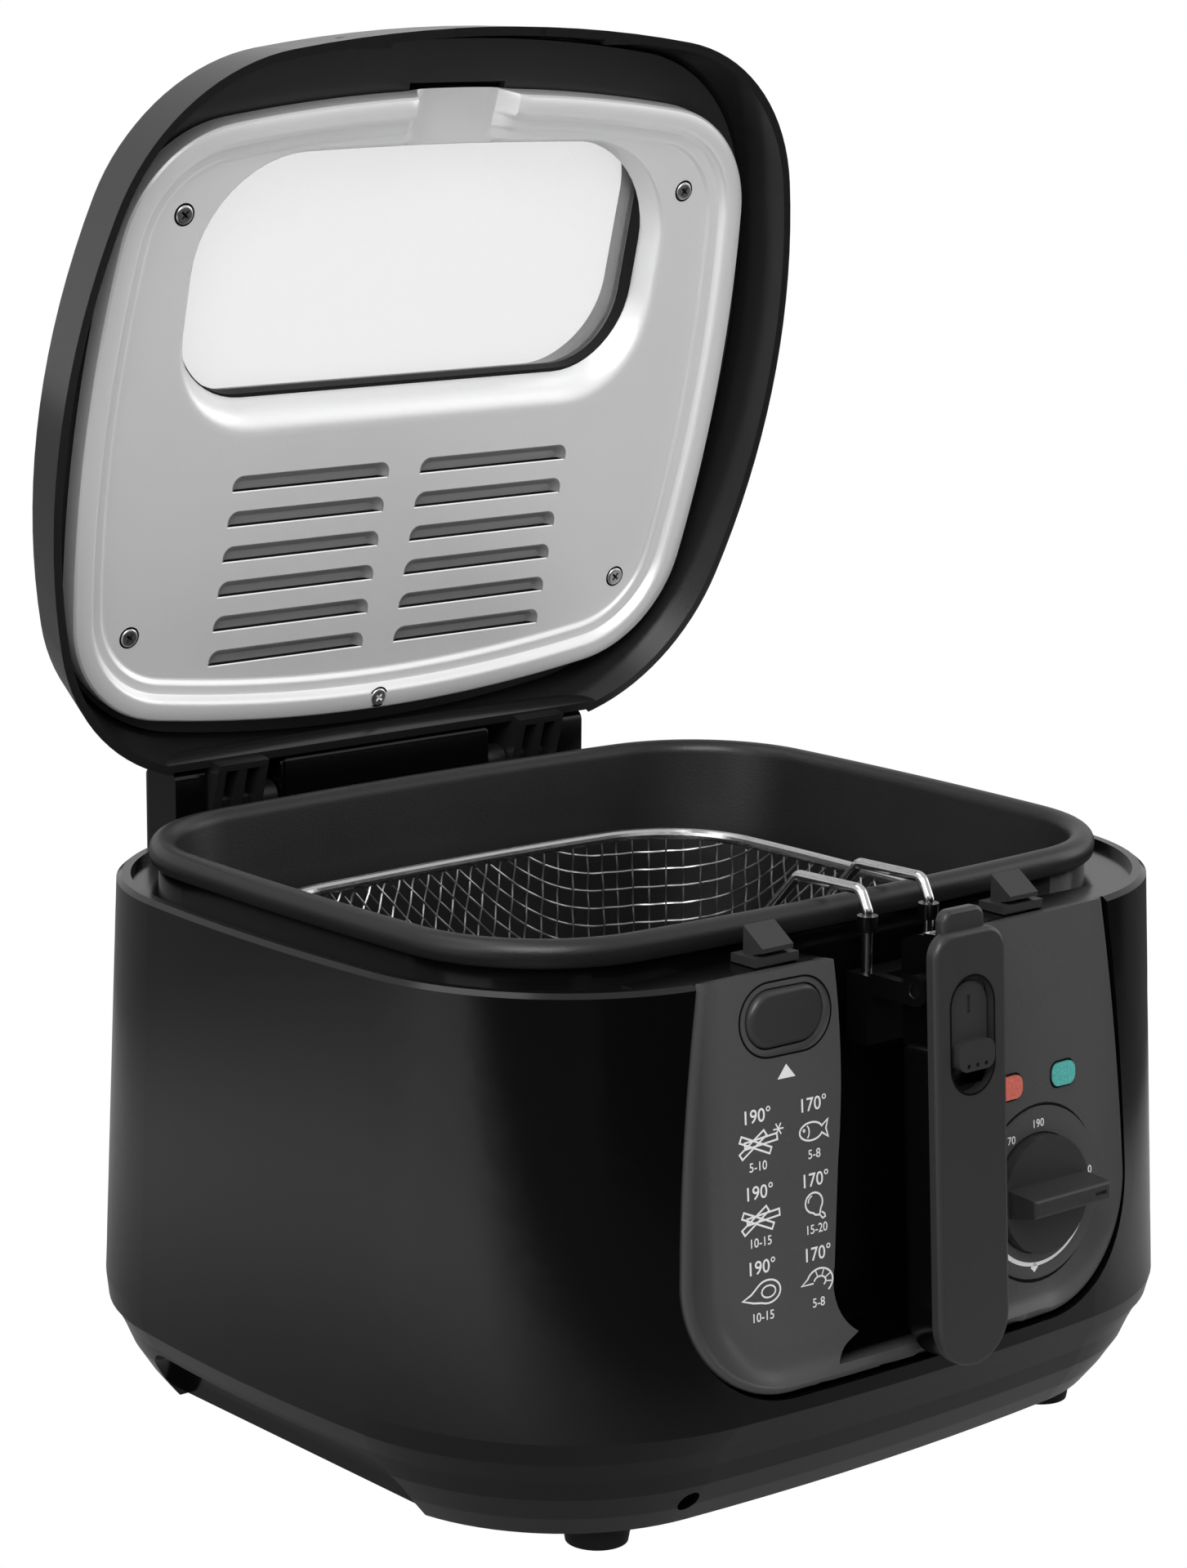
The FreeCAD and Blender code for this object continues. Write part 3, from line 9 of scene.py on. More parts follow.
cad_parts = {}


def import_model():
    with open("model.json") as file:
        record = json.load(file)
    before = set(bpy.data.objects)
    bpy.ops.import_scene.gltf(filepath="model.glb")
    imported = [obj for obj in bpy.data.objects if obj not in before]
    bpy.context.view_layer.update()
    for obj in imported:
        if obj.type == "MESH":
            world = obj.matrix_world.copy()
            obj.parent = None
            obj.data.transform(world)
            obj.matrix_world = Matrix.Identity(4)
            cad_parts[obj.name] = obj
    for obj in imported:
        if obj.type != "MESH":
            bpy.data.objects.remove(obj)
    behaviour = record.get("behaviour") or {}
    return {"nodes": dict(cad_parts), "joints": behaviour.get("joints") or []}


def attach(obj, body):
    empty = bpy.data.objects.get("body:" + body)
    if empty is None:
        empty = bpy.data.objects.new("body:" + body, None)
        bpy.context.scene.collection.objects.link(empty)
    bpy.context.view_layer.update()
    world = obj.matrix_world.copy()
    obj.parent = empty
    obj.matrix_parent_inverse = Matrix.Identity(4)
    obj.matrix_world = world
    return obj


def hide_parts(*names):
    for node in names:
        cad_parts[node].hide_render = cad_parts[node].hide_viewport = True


# The looks of a deep fryer with its lid open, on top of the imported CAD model.
# Shapes are in millimetres in the CAD model's frame: +X to the right of the front, +Y to the
# back and +Z up. piece() turns them into metres. Materials, lights and the camera use metres.
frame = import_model()
NODES = frame["nodes"]
JOINTS = {joint["name"]: joint for joint in frame["joints"]}
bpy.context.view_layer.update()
SCENE = bpy.context.scene
MM = 0.001


# ---------------------------------------------------------------- turns
def turn_about(pivot, degrees):
    """Turn about the line along X through a pivot in metres."""
    there = Matrix.Translation(pivot)
    back = Matrix.Translation([-c for c in pivot])
    return there @ Matrix.Rotation(math.radians(degrees), 4, "X") @ back


# The lid's pieces are shaped in the closed lid, and this opens them to the rest pose.
LID_OPENING = turn_about(JOINTS["lid_hinge"]["pos_m"], JOINTS["lid_hinge"]["range_deg"][0])

# The panel's face bulges across and leans: the lower it is, the further it stands out.
PANEL_Y = -114.6
PANEL_BULGE = 1600.0
PANEL_LEAN_DEG = 4.1553
PANEL_PIVOT_Y = -115.0
PANEL_PIVOT_Z = 155.0
PANEL_LEAN = turn_about((0, PANEL_PIVOT_Y * MM, PANEL_PIVOT_Z * MM), -PANEL_LEAN_DEG)

# The folded handle is shaped upright, with a flat face, and leans about its own pivot.
HANDLE_Y = -134.0
HANDLE_LEAN_DEG = 3.4
HANDLE_LEAN = turn_about(JOINTS["handle_fold"]["pos_m"], -HANDLE_LEAN_DEG)


# ---------------------------------------------------------------- shader nodes
MIX_A, MIX_B, MIX_RESULT = 6, 7, 2  # the colour sockets of a Mix node


def new_material(name):
    mat = bpy.data.materials.new(name)
    mat.use_nodes = True
    tree = mat.node_tree
    return mat, tree, tree.nodes["Principled BSDF"]


def feed(tree, node, inputs):
    """Sets inputs of a node, each to a value or to the output that drives it."""
    for name, value in inputs.items():
        if isinstance(value, bpy.types.NodeSocket):
            tree.links.new(value, node.inputs[name])
        else:
            node.inputs[name].default_value = value


def add_node(tree, kind, inputs=None, **settings):
    """New shader node with its settings and inputs."""
    node = tree.nodes.new("ShaderNode" + kind)
    for name, value in settings.items():
        setattr(node, name, value)
    feed(tree, node, inputs or {})
    return node


def math_node(tree, operation, *values):
    """Output of one calculation on values and outputs."""
    inputs = dict(enumerate(values))
    return add_node(tree, "Math", inputs, operation=operation).outputs["Value"]


def map_range(tree, value, inputs, **settings):
    """Output of a range map of one value."""
    return add_node(tree, "MapRange", {"Value": value, **inputs}, **settings).outputs["Result"]


def object_place(tree):
    """Output with the place on the object."""
    return add_node(tree, "TexCoord").outputs["Object"]


def split_axes(tree, place):
    """Outputs for X, Y and Z of a place."""
    return add_node(tree, "SeparateXYZ", {"Vector": place}).outputs


def blend_colors(tree, factor, first, second):
    """Output with a mix of two colours."""
    inputs = {"Factor": factor, MIX_A: first, MIX_B: second}
    return add_node(tree, "Mix", inputs, data_type="RGBA").outputs[MIX_RESULT]


def blend_shaders(tree, factor, first, second):
    """Output with a mix of two shaders."""
    inputs = {"Fac": factor, 1: first.outputs[0], 2: second.outputs[0]}
    return add_node(tree, "MixShader", inputs)


def show_on_surface(tree, shader):
    """Makes a shader the material's surface."""
    feed(tree, tree.nodes["Material Output"], {"Surface": shader.outputs[0]})


# ---------------------------------------------------------------- materials
GRAIN_DEPTH = 0.0004
SMOOTHEST = 0.02


def surface(name, color, rough, metallic=0.0, grain=0.0, grain_scale=900.0, vary=0.0,
            vary_scale=40.0, spec=0.5, tint=0.0):
    """Principled finish with procedural roughness, tint and grain."""
    mat, tree, bsdf = new_material(name)
    feed(tree, bsdf, {"Base Color": (*color, 1), "Metallic": metallic, "Roughness": rough,
                      "Specular IOR Level": spec})
    place = object_place(tree)
    clouds = add_node(tree, "TexNoise", {"Vector": place, "Scale": vary_scale, "Detail": 4})
    cloud = clouds.outputs["Fac"]
    span = {"To Min": max(SMOOTHEST, rough - vary), "To Max": rough + vary}
    feed(tree, bsdf, {"Roughness": map_range(tree, cloud, span)})
    if tint > 0:
        dark = [c * (1 - tint) for c in color]
        pale = [min(1, c * (1 + tint)) for c in color]
        feed(tree, bsdf, {"Base Color": blend_colors(tree, cloud, (*dark, 1), (*pale, 1))})
    if grain > 0:
        fine = add_node(tree, "TexNoise", {"Vector": place, "Scale": grain_scale, "Detail": 3})
        bump = add_node(tree, "Bump", {"Strength": grain, "Distance": GRAIN_DEPTH,
                                       "Height": fine.outputs["Fac"]})
        feed(tree, bsdf, {"Normal": bump.outputs["Normal"]})
    return mat


# Behind the panel's face, painted shade turns the channel's walls dark and dull over this depth, in
# metres.
SHADE_FROM = 0.0012
SHADE_TO = 0.0060
SHADE_COLOR = (0.0012, 0.0012, 0.0013, 1)
SHADE_SPEC = 0.05


def paint_shade_behind_face(mat):
    """Darkens a finish behind the panel's leaning, bulged face with painted shade."""
    tree = mat.node_tree
    bsdf = tree.nodes["Principled BSDF"]
    x, y, z = split_axes(tree, object_place(tree))
    slope = math.tan(math.radians(PANEL_LEAN_DEG))
    level = -PANEL_Y * MM + slope * PANEL_PIVOT_Z * MM
    squared = math_node(tree, "MULTIPLY", x, x)
    bulge = math_node(tree, "MULTIPLY_ADD", squared, -1 / (PANEL_BULGE * MM), level)
    depth = math_node(tree, "ADD", math_node(tree, "MULTIPLY_ADD", z, -slope, bulge), y)
    shaded = map_range(tree, depth, {"From Min": SHADE_FROM, "From Max": SHADE_TO})
    color = bsdf.inputs["Base Color"].default_value
    spec = {"To Min": bsdf.inputs["Specular IOR Level"].default_value, "To Max": SHADE_SPEC}
    feed(tree, bsdf, {"Base Color": blend_colors(tree, shaded, color, SHADE_COLOR),
                      "Specular IOR Level": map_range(tree, shaded, spec)})


# The panel flares at its sides and foot, over a band that starts FLARE_FROM outside a block. The
# block reaches FLARE_X to each side and down to FLARE_Z. All of these are in metres.
FLARE_X = 0.0483
FLARE_Z = 0.077
FLARE_FROM = 0.0203
FLARE_BAND = 0.014
FLARE_DEPTH = 0.0075


def flare_edge(mat):
    """Tilts the shading near the panel's sides and foot, as if its edge flared out."""
    tree = mat.node_tree
    x, _, z = split_axes(tree, object_place(tree))
    beside = math_node(tree, "SUBTRACT", math_node(tree, "ABSOLUTE", x), FLARE_X)
    below = math_node(tree, "SUBTRACT", FLARE_Z, z)
    side = math_node(tree, "MAXIMUM", beside, 0.0)
    down = math_node(tree, "MAXIMUM", below, 0.0)
    squares = [math_node(tree, "MULTIPLY", way, way) for way in (side, down)]
    reach = math_node(tree, "SQRT", math_node(tree, "ADD", *squares))
    part = math_node(tree, "MULTIPLY_ADD", reach, 1 / FLARE_BAND, -FLARE_FROM / FLARE_BAND)
    part = math_node(tree, "MAXIMUM", part, 0.0)
    grain = next(node for node in tree.nodes if node.type == "BUMP")
    flare = add_node(tree, "Bump", {"Strength": 1.0, "Distance": FLARE_DEPTH,
                                    "Height": math_node(tree, "MULTIPLY", part, part)})
    feed(tree, grain, {"Normal": flare.outputs["Normal"]})


def clear_pane(name, tint, haze, shine):
    """Hazy pane: mostly see-through, a little milky, with a weak reflection."""
    mat, tree, bsdf = new_material(name)
    tree.nodes.remove(bsdf)
    waves = add_node(tree, "TexNoise", {"Vector": object_place(tree), "Scale": 30.0})
    bump = add_node(tree, "Bump", {"Strength": 0.02, "Distance": 0.0002,
                                   "Height": waves.outputs["Fac"]})
    gloss = add_node(tree, "BsdfGlossy", {"Roughness": 0.08, "Normal": bump.outputs["Normal"]})
    through = add_node(tree, "BsdfTransparent", {"Color": (tint, tint, tint, 1)})
    milk = add_node(tree, "BsdfDiffuse", {"Color": (0.9, 0.9, 0.9, 1)})
    clouded = blend_shaders(tree, haze, through, milk)
    show_on_surface(tree, blend_shaders(tree, shine, clouded, gloss))
    return mat


LID_GLOSS = surface("lid_gloss", (0.012, 0.012, 0.0121), 0.20, vary=0.02, grain=0.015, spec=0.42)
GLOSS = surface("gloss_black", (0.0018, 0.0018, 0.0019), 0.16, vary=0.02, grain=0.015, spec=0.50)
SATIN = surface("satin_black", (0.026, 0.026, 0.0263), 0.34, vary=0.04, grain=0.10, spec=0.42)
PANEL_BLACK = (0.055, 0.055, 0.0555)
PANEL = surface("panel_black", PANEL_BLACK, 0.27, vary=0.02, grain=0.04, spec=0.42)
DEEP_PANEL = surface("panel_channel", PANEL_BLACK, 0.27, vary=0.02, grain=0.04, spec=0.42)
# The channel behind the panel's face gets painted shade.
paint_shade_behind_face(DEEP_PANEL)
flare_edge(DEEP_PANEL)
COATING = surface("non_stick", (0.010, 0.010, 0.0102), 0.38, vary=0.05, grain=0.14,
                  grain_scale=1600.0, tint=0.12, spec=0.46)
LINER = surface("satin_steel", (0.97, 0.97, 0.975), 0.40, metallic=0.50, vary=0.04, grain=0.08)
# The louvres' hoods are the liner's steel painted darker: painted shade.
SHADED_HOOD_STEEL = surface("louvre_steel_painted_shade", (0.42, 0.42, 0.425), 0.42, metallic=0.60, vary=0.04,
                     grain=0.08)
WIRE = surface("bright_wire", (0.66, 0.66, 0.67), 0.18, metallic=1.0, vary=0.05, grain=0.05)
NET = surface("mesh_wire", (0.34, 0.34, 0.35), 0.30, metallic=1.0, vary=0.05, grain=0.05)
SCREW = surface("screw_steel", (0.85, 0.85, 0.86), 0.32, metallic=1.0, vary=0.05, grain=0.08)
SHADE = surface("shaded_black", (0.0022, 0.0022, 0.0023), 0.30, vary=0.04, grain=0.08, spec=0.25)
BLACKED = surface("blacked_steel", (0.025, 0.025, 0.026), 0.35, metallic=0.6, vary=0.05,
                  grain=0.08)
DARK = surface("dark_gap_and_painted_shade", (0.002, 0.002, 0.002), 0.6, vary=0.05, grain=0.1, spec=0.1)
PANE = clear_pane("pane_clear", 0.97, 0.16, 0.02)
SEAL = surface("seal_rubber", (0.006, 0.006, 0.006), 0.55, vary=0.05, grain=0.2, spec=0.2)
RED = surface("lens_red", (0.52, 0.12, 0.09), 0.24, vary=0.08, vary_scale=1500, grain=0.6,
              tint=0.5)
GREEN = surface("lens_green", (0.07, 0.33, 0.31), 0.24, vary=0.08, vary_scale=1500, grain=0.6,
                tint=0.5)
PAD = surface("filter_pad", (0.05, 0.05, 0.05), 0.9, vary=0.05, grain=0.8, grain_scale=500)
PRINT = surface("print_white", (0.62, 0.62, 0.62), 0.5, vary=0.02, grain=0.02)
INNER = surface("inner_plastic", (0.5, 0.48, 0.42), 0.5, vary=0.05, grain=0.2)

# The finish of each CAD node. What isn't named here is wire or other bare metal: WIRE.
FINISH = {
    "housing": GLOSS, "lid_shell": LID_GLOSS, "window_frame": LID_GLOSS,
    "thermostat_knob": SATIN, "fascia": DEEP_PANEL, "base_tray": GLOSS, "release_button": SATIN,
    "latch_bar": SATIN, "handle_bracket": SHADE, "handle_cover": SATIN, "handle_back": GLOSS,
    "slide_button": SATIN, "lock_catch": SHADE, "hinge_cover": GLOSS, "wire_collars": GLOSS,
    "cord_gland": SATIN, "lid_inner_frame": SATIN, "dial_ring": PANEL, "pot": COATING,
    "lid_liner": LINER, "heat_shield": LINER, "window_glass": PANE, "hinge_pins": BLACKED,
    "hinge_springs": BLACKED, "hinge_cover_screws": BLACKED, "window_gasket": SEAL,
    "rubber_feet": SEAL, "lamp_red": RED, "lamp_green": GREEN, "odour_filter": PAD,
    "terminal_block": INNER, "thermostat": INNER,
}
for node, obj in NODES.items():
    obj.data.materials.clear()
    obj.data.materials.append(FINISH.get(node, WIRE))


# ---------------------------------------------------------------- outlines
def arc(cx, cy, rx, ry, start, end, steps):
    """Points along an arc of an ellipse, from one angle to another in degrees, both ends included."""
    turns = [math.radians(start + (end - start) * i / steps) for i in range(steps + 1)]
    return [(cx + rx * math.cos(a), cy + ry * math.sin(a)) for a in turns]


def circle(cx, cy, radius, count):
    """Points of a circle, from +X."""
    turns = [math.tau * i / count for i in range(count)]
    return [(cx + radius * math.cos(a), cy + radius * math.sin(a)) for a in turns]


def at_height(points, z):
    """Flat points raised to one height."""
    return [(x, y, z) for x, y in points]


def smoothstep(t):
    """Eases from 0 to 1 as t goes from 0 to 1."""
    t = max(0.0, min(1.0, t))
    return t * t * (3 - 2 * t)


# A rectangle with bulged sides and round corners, seen from above. front_r is the radius of its
# long front and back, side_r that of its sides, and mid_y the Y of its middle.
Plan = namedtuple("Plan", "half_w half_d front_r side_r corner_r mid_y")


def plan_loop(plan, outset, z, parts=(10, 14, 10)):
    """Points round a plan, moved outwards, starting at +X and going to +Y.

    parts is how many points half a side, a corner and half the back get.
    """
    half_w, half_d, front_r, side_r, corner_r, mid_y = plan
    back_c = half_d - front_r
    side_c = half_w - side_r
    # the corner's centre is where circles about the two long arcs' centres cross
    far_a = front_r - corner_r
    far_b = side_r - corner_r
    span = math.hypot(side_c, back_c)
    along = (far_a ** 2 - far_b ** 2 + span ** 2) / (2 * span)
    across = math.sqrt(far_a ** 2 - along ** 2)
    ux, uy = side_c / span, -back_c / span
    cx = along * ux + across * uy
    cy = back_c + along * uy - across * ux
    back_turn = math.atan2(cy - back_c, cx)
    side_turn = math.atan2(cy, cx - side_c)
    side, corner, back = parts
    arcs = ((side_c, 0.0, side_r, 0.0, side_turn, side),
            (cx, cy, corner_r, side_turn, back_turn, corner),
            (0.0, back_c, front_r, back_turn, math.pi / 2, back))
    quarter = []
    for x, y, r, start, end, count in arcs:
        for i in range(count):
            a = start + (end - start) * i / count
            quarter.append((x + (r + outset) * math.cos(a), y + (r + outset) * math.sin(a)))
    half = quarter + [(0.0, half_d + outset)] + [(-x, y) for x, y in reversed(quarter)]
    loop = half + [(x, -y) for x, y in reversed(half[1:-1])]
    return [(x, y + mid_y, z) for x, y in loop]


def rounded(cx, cy, w, h, radii, z, steps=8, straight=1):
    """Rounded rectangle; the radii are of the corners at +x+y, -x+y, -x-y and +x-y."""
    arcs = []
    corners = [(1, 1, 0), (-1, 1, 90), (-1, -1, 180), (1, -1, 270)]
    for (sx, sy, start), r in zip(corners, radii):
        ox, oy = cx + sx * (w / 2 - r), cy + sy * (h / 2 - r)
        arcs.append(at_height(arc(ox, oy, r, r, start, start + 90, steps), z))
    points = []
    for bend, following in zip(arcs, arcs[1:] + arcs[:1]):
        a, b = Vector(bend[-1]), Vector(following[0])
        points += bend + [tuple(a.lerp(b, i / straight)) for i in range(1, straight)]
    return points


def inside(x, y, loop):
    """Whether a point lies within a closed outline."""
    hit = False
    for (x0, y0), (x1, y1) in ((p[:2], q[:2]) for p, q in zip(loop, loop[1:] + loop[:1])):
        if (y0 > y) != (y1 > y) and x < x0 + (x1 - x0) * (y - y0) / (y1 - y0):
            hit = not hit
    return hit


# ---------------------------------------------------------------- meshes
def piece(name, verts, faces, mat, body, smooth=40.0, place=None):
    """One mesh object from vertices in millimetres, riding on a body.

    smooth is the sharpest angle that is shaded round, or 0 for flat faces.
    """
    mesh = bpy.data.meshes.new(name)
    moved = [Vector(v) * MM for v in verts]
    if place is not None:
        moved = [place @ v for v in moved]
    mesh.from_pydata([tuple(v) for v in moved], [], faces)
    mesh.validate()
    mesh.materials.append(mat)
    if smooth:
        mesh.polygons.foreach_set("use_smooth", [True] * len(mesh.polygons))
        mesh.set_sharp_from_angle(angle=math.radians(smooth))
    obj = bpy.data.objects.new(name, mesh)
    SCENE.collection.objects.link(obj)
    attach(obj, body)
    return obj


def loft(loops, closed=True):
    """Vertices and quads that join loops of equal length."""
    verts = [p for loop in loops for p in loop]
    n = len(loops[0])
    faces = []
    for k in range(len(loops) - 1):
        for i in range(n if closed else n - 1):
            j = (i + 1) % n
            a, b = k * n, (k + 1) * n
            faces.append((a + i, a + j, b + j, b + i))
    return verts, faces


def facet(points, flip=False):
    """One face through points."""
    corners = range(len(points))
    return list(points), [tuple(reversed(corners)) if flip else tuple(corners)]


def join(parts):
    """Joins several (vertices, faces) into one."""
    verts, faces = [], []
    for v, f in parts:
        base = len(verts)
        verts += list(v)
        faces += [tuple(i + base for i in face) for face in f]
    return verts, faces


def fill(outer, holes=(), flip=False):
    """Flat face of triangles between an outline and its holes."""
    points, edges = [], []
    for loop in [outer] + list(holes):
        base = len(points)
        points += [Vector(p[:2]) for p in loop]
        edges += [(base + i, base + (i + 1) % len(loop)) for i in range(len(loop))]
    inner_triangles, nearest = 1, 1e-5
    flat, _, triangles = delaunay_2d_cdt(points, edges, [], inner_triangles, nearest)[:3]
    faces = []
    for triangle in triangles:
        a, b, c = (flat[i] for i in triangle)
        mid = (a + b + c) / 3
        if not inside(mid.x, mid.y, outer) or any(inside(mid.x, mid.y, h) for h in holes):
            continue
        up = (b - a).cross(c - a) > 0
        faces.append(tuple(triangle) if up != flip else tuple(reversed(triangle)))
    return [(p.x, p.y, outer[0][2]) for p in flat], faces


def tube(points, radius, sides):
    """Vertices and faces of a round wire along points, with flat ends."""
    pts = [Vector(p) for p in points]
    last = len(pts) - 1
    verts, faces = [], []
    side = None
    for i, p in enumerate(pts):
        ahead = (pts[min(i + 1, last)] - pts[max(i - 1, 0)]).normalized()
        if side is None:
            guess = Vector((0, 0, 1)) if abs(ahead.z) < 0.9 else Vector((1, 0, 0))
            side = ahead.cross(guess).normalized()
        side = (side - ahead * side.dot(ahead)).normalized()
        up = ahead.cross(side)
        for k in range(sides):
            a = math.tau * k / sides
            verts.append(tuple(p + side * (radius * math.cos(a)) + up * (radius * math.sin(a))))
    for i in range(last):
        near, far = i * sides, (i + 1) * sides
        for k in range(sides):
            m = (k + 1) % sides
            faces.append((near + k, near + m, far + m, far + k))
    faces.append(tuple(reversed(range(sides))))
    faces.append(tuple(last * sides + k for k in range(sides)))
    return verts, faces


# ---------------------------------------------------------------- lid liner
# The liner is a steel pressing. It is shaped in the closed lid, so it faces down.
LINER_PLAN = Plan(half_w=118.6, half_d=96.4, front_r=538.0, side_r=429.0, corner_r=39.0, mid_y=4.1)
LINER_PARTS = (10, 16, 44)
LINER_Z = 169.4
# section through the rim's two steps, from the lid's skirt to the flat face: outset and z
LINER_RING = [(0.0, 171.5), (0.0, 166.7), (-0.2, 165.9), (-0.8, 165.3), (-1.7, 165.05),
              (-3.2, 164.95), (-5.2, 165.0), (-5.9, 165.15), (-6.5, 165.6), (-7.0, 166.4),
              (-7.4, 167.2), (-7.9, 167.75), (-8.6, 168.0), (-10.2, 168.1), (-10.8, 168.25),
              (-11.2, 168.6), (-11.6, 169.05), (-12.0, 169.32), (-12.6, LINER_Z)]

# The window is a well pressed up to the pane. Its edge spreads out at the liner's face.
WINDOW_W = 169.2
WINDOW_H = 74.3
WINDOW_Y = -37.45
WINDOW_BACK_R = 26.0
WINDOW_FRONT_R = 33.0
WINDOW_BOW = 1 / 3600.0
WELL_STRETCH = 12.7
WELL_SHIFT = 3.15
# section through the well's wall, from the liner's face to the pane: growth and z
WELL = [(3.8, LINER_Z), (3.3, 169.45), (2.7, 169.75), (2.1, 170.5), (1.5, 171.7), (0.9, 173.4),
        (0.4, 175.4), (0.0, 177.4)]

# The channel that the handle's wires lie in runs from the front edge towards the window.
CHANNEL_END_Y = -66.0
CHANNEL_HALF_W = 20.0
CHANNEL_SLOPE_W = 6.5
CHANNEL_Z = 172.9

LOUVRE_ROWS = 6
LOUVRE_Y = 25.7
LOUVRE_PITCH = 10.96
LOUVRE_NEAR_X = 5.9
LOUVRE_FAR_X = 62.9
LOUVRE_H = 4.9
LOUVRE_R = 3.4
LOUVRE_LIP = 0.3
LOUVRE_LIP_RISE = 0.25
# section through a hood's rounded shoulder: inset and rise
HOOD = [(0.0, 0.0), (0.3, 0.12), (0.7, 0.50), (1.2, 1.10), (1.8, 1.65), (2.5, 2.0)]

LINER_SCREWS = [(x, y, LINER_Z) for y in (-59.0, 67.9) for x in (-92.4, 92.4)]
BACK_SCREW = (0.0, 96.3, 165.1)
LINER_HOLE_R = 3.4
LINER_HOLE_SIDES = 24
SCREW_R = 2.8
SCREW_SIDES = 32
# section over a screw's dome, from under its edge to its top: share of its radius and rise
SCREW_DOME = [(1.0, 0.3), (1.0, -0.1), (0.95, -0.32), (0.86, -0.45), (0.76, -0.5)]
CROSS_ARM = 0.52
CROSS_HALF_W = 0.13
CROSS_TURN = math.radians(38)
# dark ring round a screw: its inner and outer share of the screw's radius, and how far it is out
SCREW_GAP = (0.98, 1.2)
SCREW_GAP_LIFT = 0.05


def into_channel(x, y, z):
    """Height of the liner at a point, after the channel for the handle's wires is pressed in."""
    if y > CHANNEL_END_Y:
        return z
    share = smoothstep((CHANNEL_HALF_W - abs(x)) / CHANNEL_SLOPE_W)
    return z + share * (max(z, CHANNEL_Z) - z)


def window_edge(grow, z):
    """Outline of the window's well where it has grown by so much."""
    share = grow / WELL[0][0]
    back_r, front_r = WINDOW_BACK_R + grow, WINDOW_FRONT_R + grow
    mid = WINDOW_Y + WELL_SHIFT * share
    tall = WINDOW_H + WELL_STRETCH * share
    wide = WINDOW_W + 2 * grow
    radii = (back_r, back_r, front_r, front_r)
    flat = rounded(0, mid, wide, tall, radii, z, steps=12, straight=40)
    return [(x, y + WINDOW_BOW * x * x * max(0.0, mid - y) / (tall / 2), h) for x, y, h in flat]


def louvre_outline(side, row, inset, z, lap=0.0):
    """Open outline of one louvre, round its closed edge from its inner end to its outer end."""
    y = LOUVRE_Y + LOUVRE_PITCH * row
    near, far = LOUVRE_NEAR_X + inset, LOUVRE_FAR_X - inset
    r = LOUVRE_R - inset * 0.5
    bend_y = y - LOUVRE_H + inset + r
    bends = arc(near + r, bend_y, r, r, 180, 270, 6) + arc(far - r, bend_y, r, r, 270, 360, 6)
    return [(side * a, b, z) for a, b in [(near, y + lap), *bends, (far, y + lap)]]


def louvre_hood(side, row):
    """Hood of one louvre: a rounded shoulder and a flat top."""
    loops = [louvre_outline(side, row, inset, LINER_Z + rise) for inset, rise in HOOD]
    if side > 0:
        loops = [list(reversed(loop)) for loop in loops]
    inset, rise = HOOD[-1]
    top = fill(louvre_outline(side, row, inset, LINER_Z + rise), flip=True)
    return [loft(loops, closed=False), top]


def louvre_lip(side, row):
    """Bent lip along the open edge of one louvre."""
    y = LOUVRE_Y + LOUVRE_PITCH * row
    near, far = side * LOUVRE_NEAR_X, side * LOUVRE_FAR_X
    root, edge = (y + LOUVRE_LIP, LINER_Z), (y, LINER_Z + LOUVRE_LIP_RISE)
    return facet([(near, *root), (far, *root), (far, *edge), (near, *edge)], flip=side > 0)


def liner():
    """The pressing with its rim, window well and wire channel, and the louvres' hoods."""
    rings = [plan_loop(LINER_PLAN, outset, z, LINER_PARTS) for outset, z in LINER_RING]
    well = [window_edge(grow, z) for grow, z in WELL]
    pressing = [loft(rings), loft([list(reversed(edge)) for edge in well])]
    holes = [well[0]]
    hoods = []
    for side in (-1, 1):
        for row in range(LOUVRE_ROWS):
            holes.append(louvre_outline(side, row, 0.0, LINER_Z, lap=LOUVRE_LIP))
            hoods += louvre_hood(side, row)
            pressing.append(louvre_lip(side, row))
    # The hoods get the darker steel as painted shade.
    obj = piece("liner_louvres", *join(hoods), SHADED_HOOD_STEEL, "lid", place=LID_OPENING)
    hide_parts("lid_liner")
    holes += [at_height(circle(x, y, LINER_HOLE_R, LINER_HOLE_SIDES), LINER_Z)
              for x, y, _ in LINER_SCREWS]
    pressing.append(fill(rings[-1], holes, flip=True))
    verts, faces = join(pressing)
    verts = [(x, y, into_channel(x, y, z)) for x, y, z in verts]
    obj = piece("liner_pressing", verts, faces, LINER, "lid", smooth=28, place=LID_OPENING)
    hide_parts("lid_liner")


def screw_head(name, x, y, z):
    """Domed cross-head screw of the liner, with painted shade on its cross's floor and the dark ring
    round it.
    """
    rings = [at_height(circle(x, y, SCREW_R * share, SCREW_SIDES), z + rise)
             for share, rise in SCREW_DOME]
    arm, w = SCREW_R * CROSS_ARM, SCREW_R * CROSS_HALF_W
    cross = [(arm, w), (w, w), (w, arm), (-w, arm), (-w, w), (-arm, w), (-arm, -w), (-w, -w),
             (-w, -arm), (w, -arm), (w, -w), (arm, -w)]
    c, s = math.cos(CROSS_TURN), math.sin(CROSS_TURN)
    cross = [(x + a * c - b * s, y + a * s + b * c) for a, b in cross]
    top = at_height(cross, z + SCREW_DOME[-1][1])
    bottom = at_height(cross, z + SCREW_DOME[0][1])
    dome = join([loft(rings), fill(rings[-1], [top], flip=True), loft([top, bottom])])
    obj = piece(name, *dome, SCREW, "lid", smooth=35, place=LID_OPENING)
    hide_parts("liner_screws")
    gap = [at_height(circle(x, y, SCREW_R * share, SCREW_SIDES), z - SCREW_GAP_LIFT)
           for share in SCREW_GAP]
    # The cross's floor is painted shade; the ring is the dark gap round the head.
    dark = join([fill(bottom, flip=True), loft(gap)])
    piece(name + "_cross", *dark, DARK, "lid", smooth=0, place=LID_OPENING)


